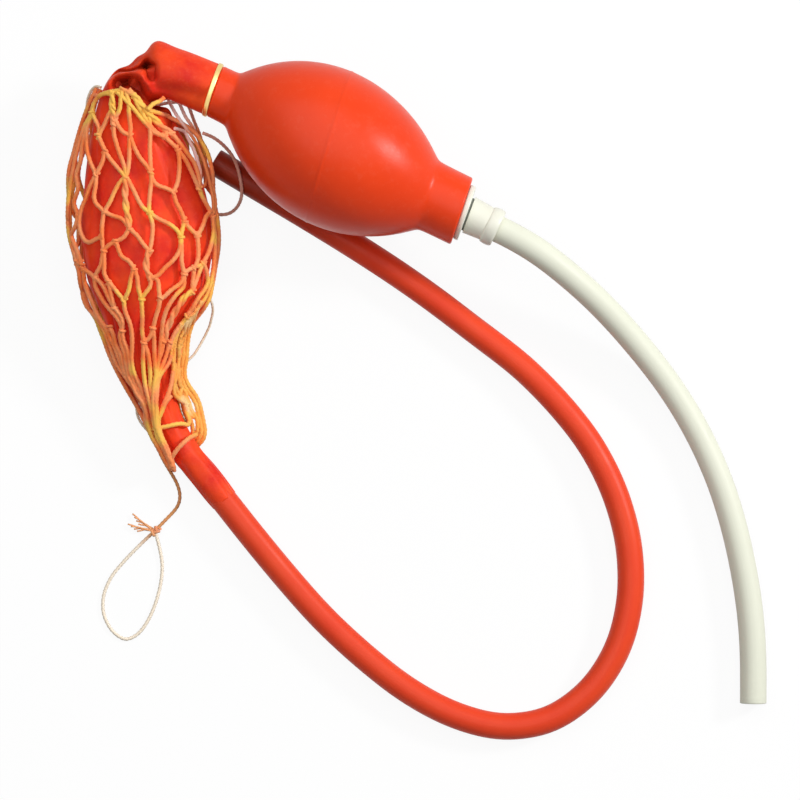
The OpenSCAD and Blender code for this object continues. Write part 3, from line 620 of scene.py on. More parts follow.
def hose_rings(route, hose_r, bore_r):
    """A hose with its wall: out along its skin, round the cut edge and back along its bore."""
    turn = np.linspace(0, np.pi / 2, 5)[:, None, None]
    heading = unit(np.gradient(route, axis=0))
    outer = tube_rings(route, hose_r, HOSE_SIDES)
    bore = route[:, None] + (outer - route[:, None]) * bore_r / hose_r
    lip = 1 - CUT_EASE / hose_r * (1 - np.cos(turn))
    reach = CUT_EASE * np.sin(turn)
    far = route[-1] + (outer[-1] - route[-1]) * lip + heading[-1] * (reach - CUT_EASE)
    near = route[0] + (outer[0] - route[0]) * lip - heading[0] * (reach - CUT_EASE)
    return np.concatenate([outer[1:-1], far, bore[::-1], near[::-1]])


def extruded_rubber(name, light, deep, roughness, shadow_from=None):
    """Extruded rubber: faint lines along the hose from the die, and soft patches of colour. Over
    a stretch from a given length on, a painted shadow darkens it."""
    made, tree, place = new_material(name)
    run = node(tree, "UVMap", uv_map="run").outputs[0]
    stretched = node(tree, "Mapping", {"Vector": run, "Scale": (60.0, 14.0, 1.0)}).outputs[0]
    lines = noise(tree, stretched, 1.0, 3.0)
    cloud = noise(tree, place, 55.0, 5.0, 0.6)
    colour = tinted(tree, blended(tree, 0.35, cloud, lines), deep, light)
    if shadow_from:
        # Painted shadow: a stretch of the hose's length is darkened as if in the bulb's shadow
        along = node(tree, "SeparateXYZ", {0: run}).outputs[1]
        stain = ranged(tree, along, shadow_from, shadow_from + PAINTED_SHADOW_EASE, 0.0, PAINTED_SHADOW_SHARE)
        outer = node(tree, "Math", {0: along, 1: shadow_from + PAINTED_SHADOW_REACH}, operation="LESS_THAN")
        stain = node(tree, "Math", {0: stain, 1: outer.outputs[0]}, operation="MULTIPLY").outputs[0]
        colour = tinted(tree, stain, colour, [part * PAINTED_SHADOW_LEFT for part in deep])
    dull = ranged(tree, cloud, 0.3, 0.7, roughness - 0.07, roughness + 0.09)
    height = blended(tree, 0.4, lines, noise(tree, place, 1500.0, 3.0))
    sockets = {"Base Color": colour, "Roughness": dull, "Specular IOR Level": 0.20}
    return finished(made, height, 0.2, 0.0002, sockets)


intake_exit = pump_origin + socket_mouth * pump_heading
intake_seat = pump_origin + socket_floor * pump_heading
intake_rows = np.concatenate([[intake_seat, intake_exit], np.array(intake_points) / 1000])
intake_route = hose_route(intake_rows)
intake = skin("intake_tube", hose_rings(intake_route, INTAKE_HOSE_R, HOSE_BORE_R), run_closed=True)
white_rubber = extruded_rubber("white_rubber", HOSE_WHITE, HOSE_CREAM, 0.42)
dress(intake, white_rubber, stands_for=["intake_hose"])

# ---- Reservoir bag -----------------------------------------------------------------------------
# A thin red rubber bladder, half full. Its upper neck is stretched over the outlet valve and folds
# over sharply, so the mouth of the bag is pinched into a lip and a hollow; its lower neck is long
# and wrinkled, and holds the tube that joins it to the red hose.

BAG_RED = (0.97, 0.064, 0.012)
# Shares of the bag's red, green and blue in its deeper, crimson patches, which lie at random
CRIMSON_PATCH_SHARES = (0.76, 0.44, 1.25)
BAG_HALF_WIDTH = 0.0238
BAG_HALF_HEIGHT = 0.0135
BAG_FLOOR = 0.0021
UPPER_NECK_R = 0.0093
LOWER_NECK_R = 0.0054
NECK_SAG = 0.0008
# Lengthwise creases of the slack skin, the end of the lower neck that has none, and their fade
SLACK_FOLDS = 9
SLACK_DEPTH = 0.0008
NECK_SMOOTH = 0.028
CREASE_FADE = 0.03
# Soft dents, which come in beyond a length from the mouth and go out before the lower end
DENT_DEPTH = 0.0011
DENTS_FROM = 0.03
DENTS_UNTIL = 0.012
BAG_SIDES = 144
BAG_STEP = 0.00045
BAG_EASE = 0.003
# The bore is drawn with one ring for so many of the skin
INSIDE_EVERY = 8
# How far the skin and the bore lie inside their sizes
SKIN_BACK = 0.0002
BORE_BACK = 0.0008
# Lengths along the bag with its wall there, and with the depth of its puckers in millimetres
WALL_PLACES = [0, 0.012, 0.02, 0.17, 0.18]
WALLS = [0.0023, 0.0023, 0.0016, 0.0016, 0.0024]
PUCKER_PLACES = [0, 12, 24, 36, 60, 95, 125, 150, 168, 185, 200]
PUCKER_DEPTHS = [0, 0.1, 0.6, 0.7, 0.3, 0.2, 0.5, 0.5, 0.35, 0.3, 0.05]
# x and y in millimetres, turn in degrees, swell across, swell in height, how far it rests on the
# table, and how far in millimetres the net hangs off the bag on its outer and on its inner side
mouth_ribs = [
    (-45.2, 69.3, 184, 0.08, -0.10, 0.00, 0, 0), (-49.5, 66.6, 207, 0.02, -0.20, 0.04, 0, 0),
    (-53.0, 62.8, 235, 0.02, -0.30, 0.12, 0, 0), (-54.1, 58.3, 257, 0.11, -0.20, 0.26, 0.3, 0),
    (-52.1, 50.4, 270, 0.42, 0.10, 0.46, 2.6, 4.0), (-50.9, 42.7, 271, 0.61, 0.42, 0.62, 3.7, 4.2),
    (-49.9, 34.0, 272, 0.77, 0.70, 0.80, 3.9, 2.8), (-48.8, 23.5, 273, 0.91, 0.90, 0.94, 3.5, 0.4),
    (-48.1, 11.2, 271, 1.00, 1.00, 1.00, 1.4, 0),
]
tail_ribs = [
    (-48.0, -1.0, 270, 0.90, 0.94, 1, 1.2, 0), (-47.1, -10.9, 270, 0.74, 0.84, 1, 1.6, 0),
    (-49.6, -20.3, 270, 0.42, 0.62, 1, 0.8, 0), (-49.0, -30.8, 274, 0.25, 0.40, 1, 0, 0),
    (-45.5, -40.6, 285, 0.12, 0.20, 1, 0, 0), (-42.9, -48.7, 291, 0.03, 0.06, 1, 0, 0),
    (-40.1, -55.3, 297, 0.00, 0.00, 1, 0, 0),
]
LOWER_NECK_BEND = (-35.4, -63, 303)
HOSE_JOINT = (-23.4, -77.8, 308.3)
LOWER_NECK_STRAIGHT = 0.012
NECK_END = 0.0032
NECK_END_R = 0.0051
# Folds over the mouth, drawn from above in millimetres, with their width and how far they rise
mouth_folds = [
    ([(-60.8, 68.2), (-57.6, 70.2), (-53, 71.2), (-49, 71.4), (-45.6, 71)], 0.9, -4.5),
    ([(-47.8, 72.2), (-46, 70.6), (-45.9, 67.6)], 1.6, -7.0),
    ([(-58, 72.4), (-53, 74.2), (-48, 74.6)], 2.6, -1.5),
    ([(-60.8, 65.6), (-57.6, 68.4), (-54.3, 69.2), (-51.2, 68.4), (-49, 67.2), (-47.2, 65),
      (-46.4, 62.6)], 1.8, 2.6),
    ([(-57, 65.4), (-54, 66.2), (-51.4, 65)], 2.2, -8.0),
    ([(-49.6, 62.4), (-47, 59.6), (-44, 58.6)], 2.2, -5.0),
    ([(-44, 63.8), (-36, 62.6), (-27.6, 60.9)], 2.4, -1.2),
    ([(-44.6, 56), (-42, 54.4), (-39.6, 51.6)], 2.2, -4.5),
]
# How far a fold is sunk where its painted shade is at its darkest
PAINTED_SHADE_DEPTH = 0.0075
# Where the folded mouth is pushed in or out: place, width and shift in millimetres
mouth_tucks = [
    ((-54, 74), 4.0, (0.8, -2.1)), ((-49.4, 78), 3.0, (0.8, -1.2)), ((-43, 79), 4.0, (-0.6, 1.7)),
    ((-42, 54.6), 3.5, (1.8, 2.6)),
]


def swollen(neck, full, share):
    """A size between a neck's and the full bag's."""
    return neck + (full - neck) * share


def bag_rows(ribs, neck_r):
    """Ribs as place, turn, half width, half height and the two slacks of the net, in metres."""
    x, y, turn, across, up, rest, outer, inner = np.array(ribs, float).T
    high = swollen(neck_r, BAG_HALF_HEIGHT, up)
    z = swollen(pump_origin[2], BAG_FLOOR + high, rest)
    wide = swollen(neck_r, BAG_HALF_WIDTH, across)
    return np.stack([x / 1000, y / 1000, z, turn, wide, high, outer / 1000, inner / 1000], axis=1)


def round_row(place, turn, radius):
    """A round rib of a neck."""
    return [[*place, turn, radius, radius, 0, 0]]


def section(rows, angle, out=0):
    """Points of upright sections: the rib's place, plus the half width times the cosine across
    the rib's turn, plus the half height times the sine upwards."""
    turn = np.radians(rows[..., 3])
    across = np.stack([np.sin(turn), -np.cos(turn), np.zeros_like(turn)], axis=-1)
    wide = (rows[..., 4] + out) * np.cos(angle)
    high = (rows[..., 5] + out) * np.sin(angle)
    return rows[..., :3] + wide[..., None] * across + high[..., None] * upwards


def press(skin_points, lift, line, width, rise):
    """Raises or sinks the upper skin near a line that is drawn over it from above, and gives the
    change. It falls off with the distance from the line as a bell does."""
    line = np.array(line) / 1000
    start, leg = line[:-1], np.diff(line, axis=0)
    flat = skin_points[..., None, :2] - start
    share = np.clip((flat * leg).sum(axis=-1) / (leg ** 2).sum(axis=-1), 0, 1)
    away = np.linalg.norm(flat - share[..., None] * leg, axis=-1).min(axis=-1)
    change = rise / 1000 * np.exp(-(away / width * 1000) ** 2) * lift
    skin_points[..., 2] += change
    return change


def nudge(skin_points, place, width, shift):
    """Pushes the skin sideways round a place. The shift falls off with the distance in a bell."""
    away = np.linalg.norm(skin_points[..., :2] - np.array(place) / 1000, axis=-1)
    skin_points[..., :2] += np.exp(-(away / width * 1000) ** 2)[..., None] * np.array(shift) / 1000


def ripples(rng, along, angle, count, finest):
    """Soft dents: the mean of waves with a whole number of turns round the bag."""
    turns = rng.integers(1, finest, count)
    pitch = rng.uniform(0.02, 0.06, count)
    start = rng.uniform(0, 2 * np.pi, (2, count))
    round_it = np.cos(turns * angle[..., None] + start[0])
    along_it = np.cos(2 * np.pi * along[..., None] / pitch + start[1])
    return (round_it * along_it).mean(axis=-1)


pump_turn = np.degrees(np.arctan2(pump_heading[1], pump_heading[0]))
neck_mouth = pump_origin + band_start * pump_heading
neck_seat = pump_origin + valve_start * pump_heading
joint_place = np.array([HOSE_JOINT[0] / 1000, HOSE_JOINT[1] / 1000, LOWER_NECK_R])
joint_turn = np.radians(HOSE_JOINT[2])
joint_ahead = np.array([np.cos(joint_turn), np.sin(joint_turn), 0])
straight_start = joint_place - LOWER_NECK_STRAIGHT * joint_ahead
bend_place = [LOWER_NECK_BEND[0] / 1000, LOWER_NECK_BEND[1] / 1000, BAG_FLOOR / 2 + LOWER_NECK_R]
bag_ribs = np.concatenate([
    round_row(neck_mouth, 180 + pump_turn, UPPER_NECK_R),
    round_row(neck_seat - NECK_SAG * pump_side, 180 + pump_turn, UPPER_NECK_R),
    bag_rows(mouth_ribs, UPPER_NECK_R), bag_rows(tail_ribs, LOWER_NECK_R),
    round_row(bend_place, LOWER_NECK_BEND[2], LOWER_NECK_R),
    round_row(straight_start, HOSE_JOINT[2], LOWER_NECK_R),
    round_row(joint_place, HOSE_JOINT[2], LOWER_NECK_R),
    round_row(joint_place + NECK_END * joint_ahead, HOSE_JOINT[2], NECK_END_R),
])
bag_run = eased_route(bag_ribs, BAG_STEP, BAG_EASE)
bag_at = lengths(bag_run[:, :3])
bag_angle = np.arange(BAG_SIDES) * 2 * np.pi / BAG_SIDES
along, angle = np.broadcast_arrays(bag_at[:, None], bag_angle)
pucker = np.interp(along, np.array(PUCKER_PLACES) / 1000, np.array(PUCKER_DEPTHS) / 1000)
pucker = pucker * (1 + np.cos(6 * angle + 2.4 * np.sin(2 * angle + 75 * along) + 40 * along)) / 2
creases = np.cos(SLACK_FOLDS * angle + 1.4 * np.sin(55 * along) + 0.9 * np.sin(3 * angle))
slack = SLACK_DEPTH * np.clip((bag_at[-1] - along - NECK_SMOOTH) / CREASE_FADE, 0, 1)
dents = DENT_DEPTH * ripples(np.random.default_rng(5), along, angle, count=9, finest=7)
dents = (dents - slack * np.clip(creases, 0, 1) ** 3) * np.clip(along / DENTS_FROM - 1, 0, 1)
dents = dents * np.clip((bag_at[-1] - along) / DENTS_UNTIL - 0.4, 0, 1)
bag_outside = section(bag_run[:, None], angle, dents - pucker - SKIN_BACK)
wall_at = np.interp(bag_at, WALL_PLACES, WALLS)[::-INSIDE_EVERY, None]
bag_inside = section(bag_run[::-INSIDE_EVERY][:, None], bag_angle, -wall_at - BORE_BACK)
bag_rings = np.concatenate([bag_outside, bag_inside])
upper_side = np.clip(np.sin(bag_angle) * 2.5, 0, 1)
sunk = sum(press(bag_rings, upper_side, line, width, rise) for line, width, rise in mouth_folds)
for place, width, shift in mouth_tucks:
    nudge(bag_rings, place, width, shift)
bag = skin("bag_skin", askew(bag_rings), run_closed=True)
# Painted shade: the deeper the folds of the mouth sink the skin, the darker its colour is painted
# there
painted_fold_shade = bag.data.attributes.new("painted_fold_shade", "FLOAT", "POINT")
painted_fold_shade.data.foreach_set("value", np.clip(-sunk.ravel() / PAINTED_SHADE_DEPTH, 0, 1).astype(np.float32))
bag_rubber = rubber("bag_rubber", BAG_RED, 0.44, 0.12, 70, CRIMSON_PATCH_SHARES, 0.17, bloom=0.14,
                    shade_attribute="painted_fold_shade")
dress(bag, bag_rubber, stands_for=["reservoir_bag"])

# ---- Discharge hose ----------------------------------------------------------------------------
# Soft red hose on the end of the bag's lower neck. It lies in a wide loop and comes back under the
# squeeze bulb, where it was cut off square. Its end is free.

DISCHARGE_R = 0.00475
DISCHARGE_RED = (0.74, 0.034, 0.014)
DISCHARGE_PALE = (0.84, 0.085, 0.020)
# The length from which the hose is painted with the bulb's shadow, where it lies under the bulb
PAINTED_SHADOW_FROM = 0.365
discharge_rows = np.array([
    (-23.4, -77.8, 5.4), (-11, -93.5, 5.4), (1, -108, 4.75), (13.5, -122, 4.75),
    (27, -134.5, 4.75), (41.5, -146, 4.75), (57.5, -155, 4.75), (75.5, -160, 4.75),
    (93.5, -157.5, 4.75), (108.5, -146.5, 4.75), (118, -131, 4.75), (122, -112.5, 4.75),
    (121, -94, 4.75), (116, -76.5, 4.75), (107.5, -60, 4.75), (96, -45.5, 4.75), (83, -32.5, 4.75),
    (68, -21, 4.75), (53, -9.5, 4.75), (38, 1, 4.75), (22.5, 11, 4.75), (7, 20.5, 4.75),
    (-9, 30, 4.75), (-25, 39.5, 4.75),
]) / 1000
discharge_route = hose_route(discharge_rows)
discharge_rings = hose_rings(discharge_route, DISCHARGE_R, HOSE_BORE_R)
discharge_hose = skin("discharge_hose_skin", discharge_rings, run_closed=True)
hose_rubber = extruded_rubber("hose_rubber", DISCHARGE_RED, DISCHARGE_PALE, 0.4, PAINTED_SHADOW_FROM)
dress(discharge_hose, hose_rubber, stands_for=["discharge_hose"])
paint(frame["nodes"]["hose_connector"], brass)

# ---- Net ---------------------------------------------------------------------------------------
# Knotted orange twine round the bag. Each strand of the upper side is drawn from above as it lies,
# in millimetres, from knot to knot. The side walls and the under side are a plain lattice, and the
# tail is gathered beside the lower neck.

ORANGE_LIGHT = (1.0, 0.41, 0.18)
ORANGE_DEEP = (1.0, 0.20, 0.03)
ORANGE_GOLD = (1.0, 0.62, 0.10)
# The length over which a twine's second colour takes over
SECOND_COLOUR_EASE = 0.008
TWINE_R = 0.00078
NET_GAP = 0.0009
TWINE_SIDES = 8
TWINE_STEP = 0.00045
STRAND_EASE = 0.0009
PLY_PITCH = 0.0032
PLY_GROOVE = 0.09
PAIR_PITCH = 0.010
PAIR_APART = 0.0005
SHADED_R = 0.0006
# Columns and rows of meshes of the plain lattice
NET_COLUMNS = 14
NET_ROWS = 10
KNOT_LENGTH = 0.003
KNOT_R = 0.00080
KNOT_TURNS = 1.0
KNOT_TWINE_R = 0.00052
# Knots are wrapped above this y, and no nearer to each other than this
KNOTS_ABOVE_Y = -0.026
KNOTS_APART = 0.0022
# In the lattice: how far the twines of a knot lie aside, how far a knot and the middle of a strand
# wander round the bag, all in radians, and how far that middle wanders along it, in metres
TWINES_ASIDE = 0.02
KNOT_WANDER = 0.03
STRAND_WANDER = 0.10
STRAND_DRIFT = 0.0006
net_off = NET_GAP + TWINE_R
single_strands = [
    [(-58.9, 50.4), (-58.9, 47.4), (-58, 44.3), (-57, 41.2), (-55.8, 38.2), (-54.8, 35),
     (-54.8, 33)],
    [(-55.8, 62.8), (-56.4, 59.3), (-56.6, 56.6), (-57.4, 54.7), (-58.8, 53)],
    [(-58.6, 53), (-57.4, 50.5), (-55.8, 48.2), (-53.4, 47.2)],
    [(-54.6, 62), (-53.4, 58.2), (-53.6, 55.5), (-53.3, 52), (-52.9, 49.7), (-53.3, 47.2)],
    [(-57.8, 62.2), (-54.5, 59.2), (-51.6, 56), (-49, 52.6), (-46.8, 50.2), (-45.1, 48.2),
     (-41.4, 46.8)],
    [(-41.4, 46.8), (-38.9, 44.6), (-36.8, 42.6)],
    [(-52, 61.2), (-49.9, 56.4), (-47.9, 53), (-46, 50), (-43.4, 47.6), (-41.2, 46.9)],
    [(-40.4, 49), (-40.8, 47.8), (-41.4, 46.7)],
    [(-38.5, 47.8), (-35.8, 44.3), (-33.5, 41.2), (-31.2, 38.2), (-30.1, 35.1), (-29.3, 31.6),
     (-29.5, 29)],
    [(-29.5, 29), (-28.5, 26.3), (-26.6, 22.8), (-25, 19.9)],
    [(-25, 19.9), (-24.4, 16.7), (-24.7, 12.5), (-25.5, 9), (-26.6, 5.9), (-28.2, 3.2)],
    [(-28.2, 3.2), (-29.3, 0.2), (-30.5, -2.9), (-31.8, -6.8)],
    [(-36.8, 42.6), (-36.2, 39.3), (-36.2, 35.5), (-36.6, 31.6), (-37.4, 29.2), (-38.3, 27.6)],
    [(-36.8, 42.4), (-34.3, 39.3), (-32.4, 35.5), (-30.6, 31.4), (-29.6, 29)],
    [(-46.6, 55.2), (-46.4, 52), (-46.2, 47.4), (-46.4, 42.8), (-46.2, 38.9), (-46.1, 34.6)],
    [(-53.3, 47.2), (-52, 43.5), (-50.1, 39.7), (-47.8, 37), (-46.1, 34.6)],
    [(-53.4, 47.2), (-53.5, 44.3), (-53.5, 39.7), (-53.9, 35.1), (-54.8, 32.8)],
    [(-64.4, 47.2), (-62, 41.8), (-60.5, 39.3), (-58.2, 36.6), (-54.8, 32.8)],
    [(-66.6, 55), (-65.1, 52), (-63.9, 49.7), (-64.4, 47.2)],
    [(-59, 56.6), (-60.8, 54.3), (-62, 51.2), (-63.5, 48.9), (-64.4, 47.2)],
    [(-62, 41.8), (-62.8, 38.2), (-64.3, 35.5), (-65.2, 33.9)],
    [(-66.6, 54.8), (-68.5, 50.5), (-68.7, 45.8), (-68.5, 42), (-67.4, 38.2), (-65.2, 33.9)],
    [(-59.4, 61.6), (-62.3, 61.9), (-64.6, 61), (-66.2, 58.5), (-66.7, 55.2)],
    [(-66.7, 55), (-69.3, 51.2), (-70.8, 46.6), (-72, 42.8), (-73, 38.9), (-73.7, 35.1),
     (-74.6, 31), (-75.5, 26.3), (-75.7, 22.5), (-76, 18.6), (-75.8, 14.8), (-75.1, 10.9),
     (-73.5, 6.3), (-72, 3.2), (-70.1, 0.9)],
    [(-70.1, 0.9), (-67.8, -0.4), (-65.9, -1.9)],
    [(-67.6, 53.4), (-69.3, 48.2), (-70.4, 43), (-70.8, 38.4), (-72.6, 33.8), (-71.6, 29),
     (-73.6, 24), (-71.8, 20), (-72.6, 16.2), (-74.8, 13), (-72.5, 8), (-70.8, 3)],
    [(-65.2, 33.9), (-65.4, 29.4), (-66.2, 26.3), (-65.5, 23.6), (-63.2, 21.7), (-62.4, 20.7)],
    [(-55, 32.8), (-57, 30.8), (-58.9, 27.5), (-60.1, 24.4), (-61.6, 22.1), (-62.4, 20.7)],
    [(-54.4, 32.6), (-52, 28.2), (-50.5, 24.8), (-48.9, 22.1), (-46.7, 20.5)],
    [(-46.1, 34.6), (-45.8, 31.7), (-46.2, 28.2), (-46.6, 24.4), (-46.7, 20.5)],
    [(-46.1, 34.4), (-45.3, 31.3), (-43.5, 29.6), (-40.5, 28.8), (-38.3, 27.6)],
    [(-62.4, 20.7), (-63.2, 15.9), (-63.2, 12), (-62.9, 9), (-62.6, 7.5)],
    [(-62.4, 20.7), (-59.3, 19.2), (-56.6, 18.6), (-55.1, 17.4), (-53.6, 14.9)],
    [(-53.6, 14.7), (-55.5, 11.5), (-58.2, 10.5), (-60.5, 9.4), (-62.6, 7.5)],
    [(-53.5, 14.7), (-50.8, 12.5), (-49.3, 10.2), (-47.4, 7.8), (-46.5, 7.1)],
    [(-46.7, 20.5), (-45.3, 16.3), (-45.5, 12.5), (-46, 9), (-46.5, 7.1)],
    [(-46.7, 20.5), (-44.2, 18.6), (-42, 17.5), (-39.3, 16.3), (-37, 14.4), (-35.7, 12.2)],
    [(-38.3, 27.6), (-37.4, 24), (-35.8, 21.3), (-34.4, 17.7)],
    [(-34.4, 17.7), (-33.5, 15.9), (-31.6, 14), (-30.1, 12.5)],
    [(-34.4, 17.7), (-35.1, 14.8), (-35.7, 12.2)],
    [(-25.6, 21), (-27.2, 19.4), (-27.8, 17.1), (-28.9, 14.4), (-30.1, 12.5)],
    [(-30.1, 12.5), (-29.7, 9), (-29.7, 5.5), (-30.1, 2.9), (-31.2, 1.5)],
    [(-35.7, 12.1), (-35.8, 8.2), (-37, 5.5), (-38.9, 3.2), (-41.2, 1.3), (-43.2, -1.2),
     (-44.7, -2.2), (-46.2, -2.2)],
    [(-35.6, 12), (-35.4, 7.1), (-35.5, 3.2), (-34.6, -0.6)],
    [(-31.2, 1.5), (-33.2, 0.6), (-34.6, -0.6)],
    [(-31.2, 1.6), (-28.8, 2.2), (-27.4, 3.4)],
    [(-58.2, 10.3), (-57.4, 7.5), (-56.2, 4.8), (-53.5, 3.6), (-52, 0.9)],
    [(-52, 0.9), (-53.1, -2.5), (-53.6, -6), (-54.4, -8), (-55.6, -9.8)],
    [(-52, 0.9), (-50.8, -1.8), (-50.5, -6.2), (-49.4, -9.4)],
    [(-62.6, 7.5), (-62.4, 2.1), (-62.7, -0.6), (-61.2, -3.3), (-58.9, -6), (-57.2, -8.2),
     (-55.6, -9.8)],
    [(-62.6, 7.4), (-63.2, 4.8), (-63.5, 2.1), (-65.1, -0.2), (-65.9, -1.9)],
    [(-65.2, 33.9), (-67.8, 29), (-68.9, 25.5), (-70.3, 22.8), (-71.2, 19.8), (-71.5, 16.7),
     (-70.9, 13.6), (-69.7, 11), (-67.8, 9.8), (-65.5, 11.3), (-63.2, 12)],
    [(-65.9, -1.9), (-66, -4.8), (-64.9, -7.1), (-62.6, -10.9), (-60.7, -13.2), (-58.8, -15.2),
     (-57.2, -17.5), (-56.4, -20.2)],
    [(-65.9, -1.9), (-63.6, -4), (-62.2, -6.3), (-61.5, -8.2), (-60.3, -10.5), (-59.2, -12.4)],
    [(-61, -3.6), (-59.9, -9), (-59.2, -12.4), (-57.2, -14.8), (-56.1, -16.7), (-56.4, -20.2)],
    [(-55.6, -9.8), (-55.5, -13.2), (-54.5, -15.9), (-53.4, -18.6), (-53, -21.7), (-53, -25.5),
     (-53.4, -30.2), (-53, -34), (-51.8, -37.1), (-50.7, -39.4), (-49.8, -42)],
    [(-49.4, -9.4), (-49.3, -12.5), (-49.2, -16.7), (-49.5, -20.5), (-48.9, -24.4)],
    [(-49.4, -9.4), (-48, -7.5), (-46.1, -5.2), (-46.2, -2.2)],
    [(-48.9, -24.4), (-49.2, -28.6), (-49.3, -32.5), (-49, -36.7), (-48.6, -40.4)],
    [(-48.9, -24.4), (-47.2, -23.6), (-46.1, -21.7), (-45.3, -18.6), (-44.5, -15.5), (-43.4, -12.5),
     (-42.9, -9.5)],
    [(-42.9, -9.5), (-43.4, -6.3), (-43.4, -3.4), (-44.6, -2.2)],
    [(-42.9, -9.5), (-41.5, -9), (-39.5, -6.7), (-37.2, -5.2), (-35.3, -3.8), (-34.6, -0.6)],
    [(-45.6, -20), (-45.3, -23.2), (-45.3, -27.1), (-45.3, -30.9), (-44.9, -34.8), (-44.5, -38.6),
     (-44.5, -42.5), (-44.9, -46)],
    [(-34.6, -0.8), (-34.6, -5.3), (-37.2, -7.8), (-39.5, -10.9), (-41.1, -14), (-42.2, -17.5),
     (-42.6, -21.3), (-43, -24.8), (-43.4, -28.6), (-44.2, -32.5), (-44.6, -36)],
    [(-42.2, -24.6), (-42.6, -27.6), (-43.8, -30.4), (-44.4, -33.6), (-45.2, -38), (-45.8, -42)],
    [(-31.2, 1.5), (-31.4, -2), (-31.9, -4.4), (-31.7, -6.8)],
    [(-25, 19.9), (-24.2, 13), (-24.2, 7), (-24.8, 1), (-25.7, -4), (-26.8, -7.1), (-28, -9.8),
     (-29.9, -12.1), (-31.5, -14), (-33.8, -15.8), (-35.7, -17.9), (-37.2, -19.8), (-38.4, -21.7),
     (-39.5, -24), (-40.1, -27.1)],
    [(-28.2, 3.2), (-27, 0.4), (-26.4, -3.6), (-28, -6.6), (-29.9, -9), (-31.8, -12.5),
     (-33.8, -15.2)],
    [(-72.4, 3.4), (-71.6, -1.5), (-71.1, -5.5), (-70.7, -9), (-69.5, -12.1), (-67.6, -14),
     (-64.9, -16.7), (-63, -20.5), (-61.5, -24.4), (-60.3, -28.2), (-59.2, -31.7), (-56.8, -35.2),
     (-54.9, -37.8), (-52.6, -40.5)],
    [(-70.1, 0.9), (-69.8, -3.6), (-68.6, -7.6), (-67.2, -10.6), (-66, -13.8), (-64.4, -17),
     (-62.4, -19.2), (-61.2, -22.5), (-59.6, -25.4), (-58.4, -29), (-57.2, -32.4), (-55.2, -36)],
    [(-56.4, -20.2), (-57.6, -21.8), (-56.8, -25.5), (-55.7, -28.6), (-55.3, -32.5), (-54.9, -35.9),
     (-53.4, -38.9)],
    [(-56.4, -20.2), (-56.1, -24), (-54.9, -26.5), (-54.2, -30.2), (-53.8, -34.8), (-53, -37.8),
     (-51.6, -40.6)],
    [(-60.8, -19.4), (-59.6, -22), (-58.9, -25.6), (-57.2, -28.6), (-56.6, -32.2), (-56, -35.4)],
    [(-48.9, -24.6), (-47.6, -28), (-47, -32), (-46.8, -36), (-46.9, -40.4), (-46.4, -45)],
    [(-40.1, -24.8), (-41.1, -28.6), (-42.2, -31.7), (-43.4, -34.4), (-44.4, -37), (-45.2, -41)],
    [(-39.5, -28.6), (-40.3, -31.7), (-41.5, -33.4), (-43, -35.2), (-44.2, -38), (-44.6, -43)],
    [(-39, -34.6), (-39.5, -38.6), (-40.3, -41.7), (-41.6, -44.8), (-43, -48.5), (-44.2, -51)],
    [(-39.7, -43.3), (-41.7, -45.7), (-43, -49), (-44.4, -52)],
    [(-40.2, -66.6), (-39.3, -64.5), (-37.4, -61.8), (-35.3, -59.7), (-33.3, -58), (-31.2, -57)],
]
paired_strands = [
    [(-59.3, 62.8), (-59.4, 59.5), (-59.3, 56.5), (-58.9, 53), (-58.9, 50.4)],
    [(-53.9, 62.8), (-51.2, 60.5), (-49.3, 57.8), (-47.2, 55.6), (-45.4, 53.5), (-43.5, 51.6),
     (-41.2, 49.3), (-38.5, 47.8)],
    [(-54.8, 32.8), (-55, 27.1), (-54.8, 23.2), (-54.3, 19.8), (-53.6, 17.1), (-53.6, 14.9)],
    [(-46.5, 7.1), (-47.4, 5.2), (-47.8, 2.1), (-47.3, -0.6), (-46.2, -2.2)],
    [(-31.7, -6.8), (-34.5, -8.6), (-36.1, -11.3), (-38, -14), (-39.2, -16.7), (-40.7, -19.4),
     (-41.5, -22.5), (-42.2, -24.6)],
]
mouth_hem = [(-64.4, 60.8), (-62.3, 62), (-59.6, 62.3), (-56.5, 62.9), (-53.9, 62.6), (-51, 60.7),
    (-48.9, 57.8), (-47, 55.9), (-44.6, 55.4)]
gather_top = [(-46.4, -55), (-43.3, -54.5), (-40.7, -54), (-38, -53.2), (-35.3, -53),
    (-33.9, -53.8)]
# Slack strands with their heights: those that come from under the shaded side of the mouth
shaded_strands = [
    [(-46, 60, 17), (-41, 61.4, 15), (-39.4, 58, 20), (-37.4, 54.6, 21.5), (-34.8, 51, 20),
     (-32.2, 47.6, 18), (-30, 43.6, 17), (-28.2, 39, 17), (-26.8, 34, 17), (-25.6, 29, 16.5),
     (-24.8, 24.6, 16.5), (-25, 19.9, 16)],
    [(-46, 59, 17), (-41.4, 61.4, 13.6), (-37.4, 60.6, 13), (-36, 57.6, 18), (-34.6, 54.4, 19),
     (-32.4, 51.4, 17.5), (-30.4, 47.6, 15), (-28.8, 43, 14), (-27.4, 38, 14), (-26, 33, 14.5),
     (-24.6, 28, 15), (-24, 23.6, 15.5), (-25, 19.9, 16)],
    [(-46, 58, 17), (-42, 59.6, 12), (-38, 60.2, 10.4), (-34, 59.4, 10), (-32.9, 56.2, 10.5),
     (-31.6, 52.6, 10.5), (-30, 49, 10.5), (-28.9, 45, 11), (-28, 40.6, 12), (-27.2, 36, 13),
     (-27.6, 31, 15), (-29.4, 28.6, 17)],
    [(-38, 50, 24), (-34.7, 49.3, 19), (-33.6, 46.6, 18), (-31.6, 43, 18), (-30.4, 39, 18),
     (-29.2, 35, 18), (-29.4, 31, 18)],
]
# A cut end that sticks up from the mouth
mouth_stub = [(-47, 55.8, 34), (-45.1, 58.2, 33), (-42.8, 58.9, 32), (-41.4, 60.3, 31)]
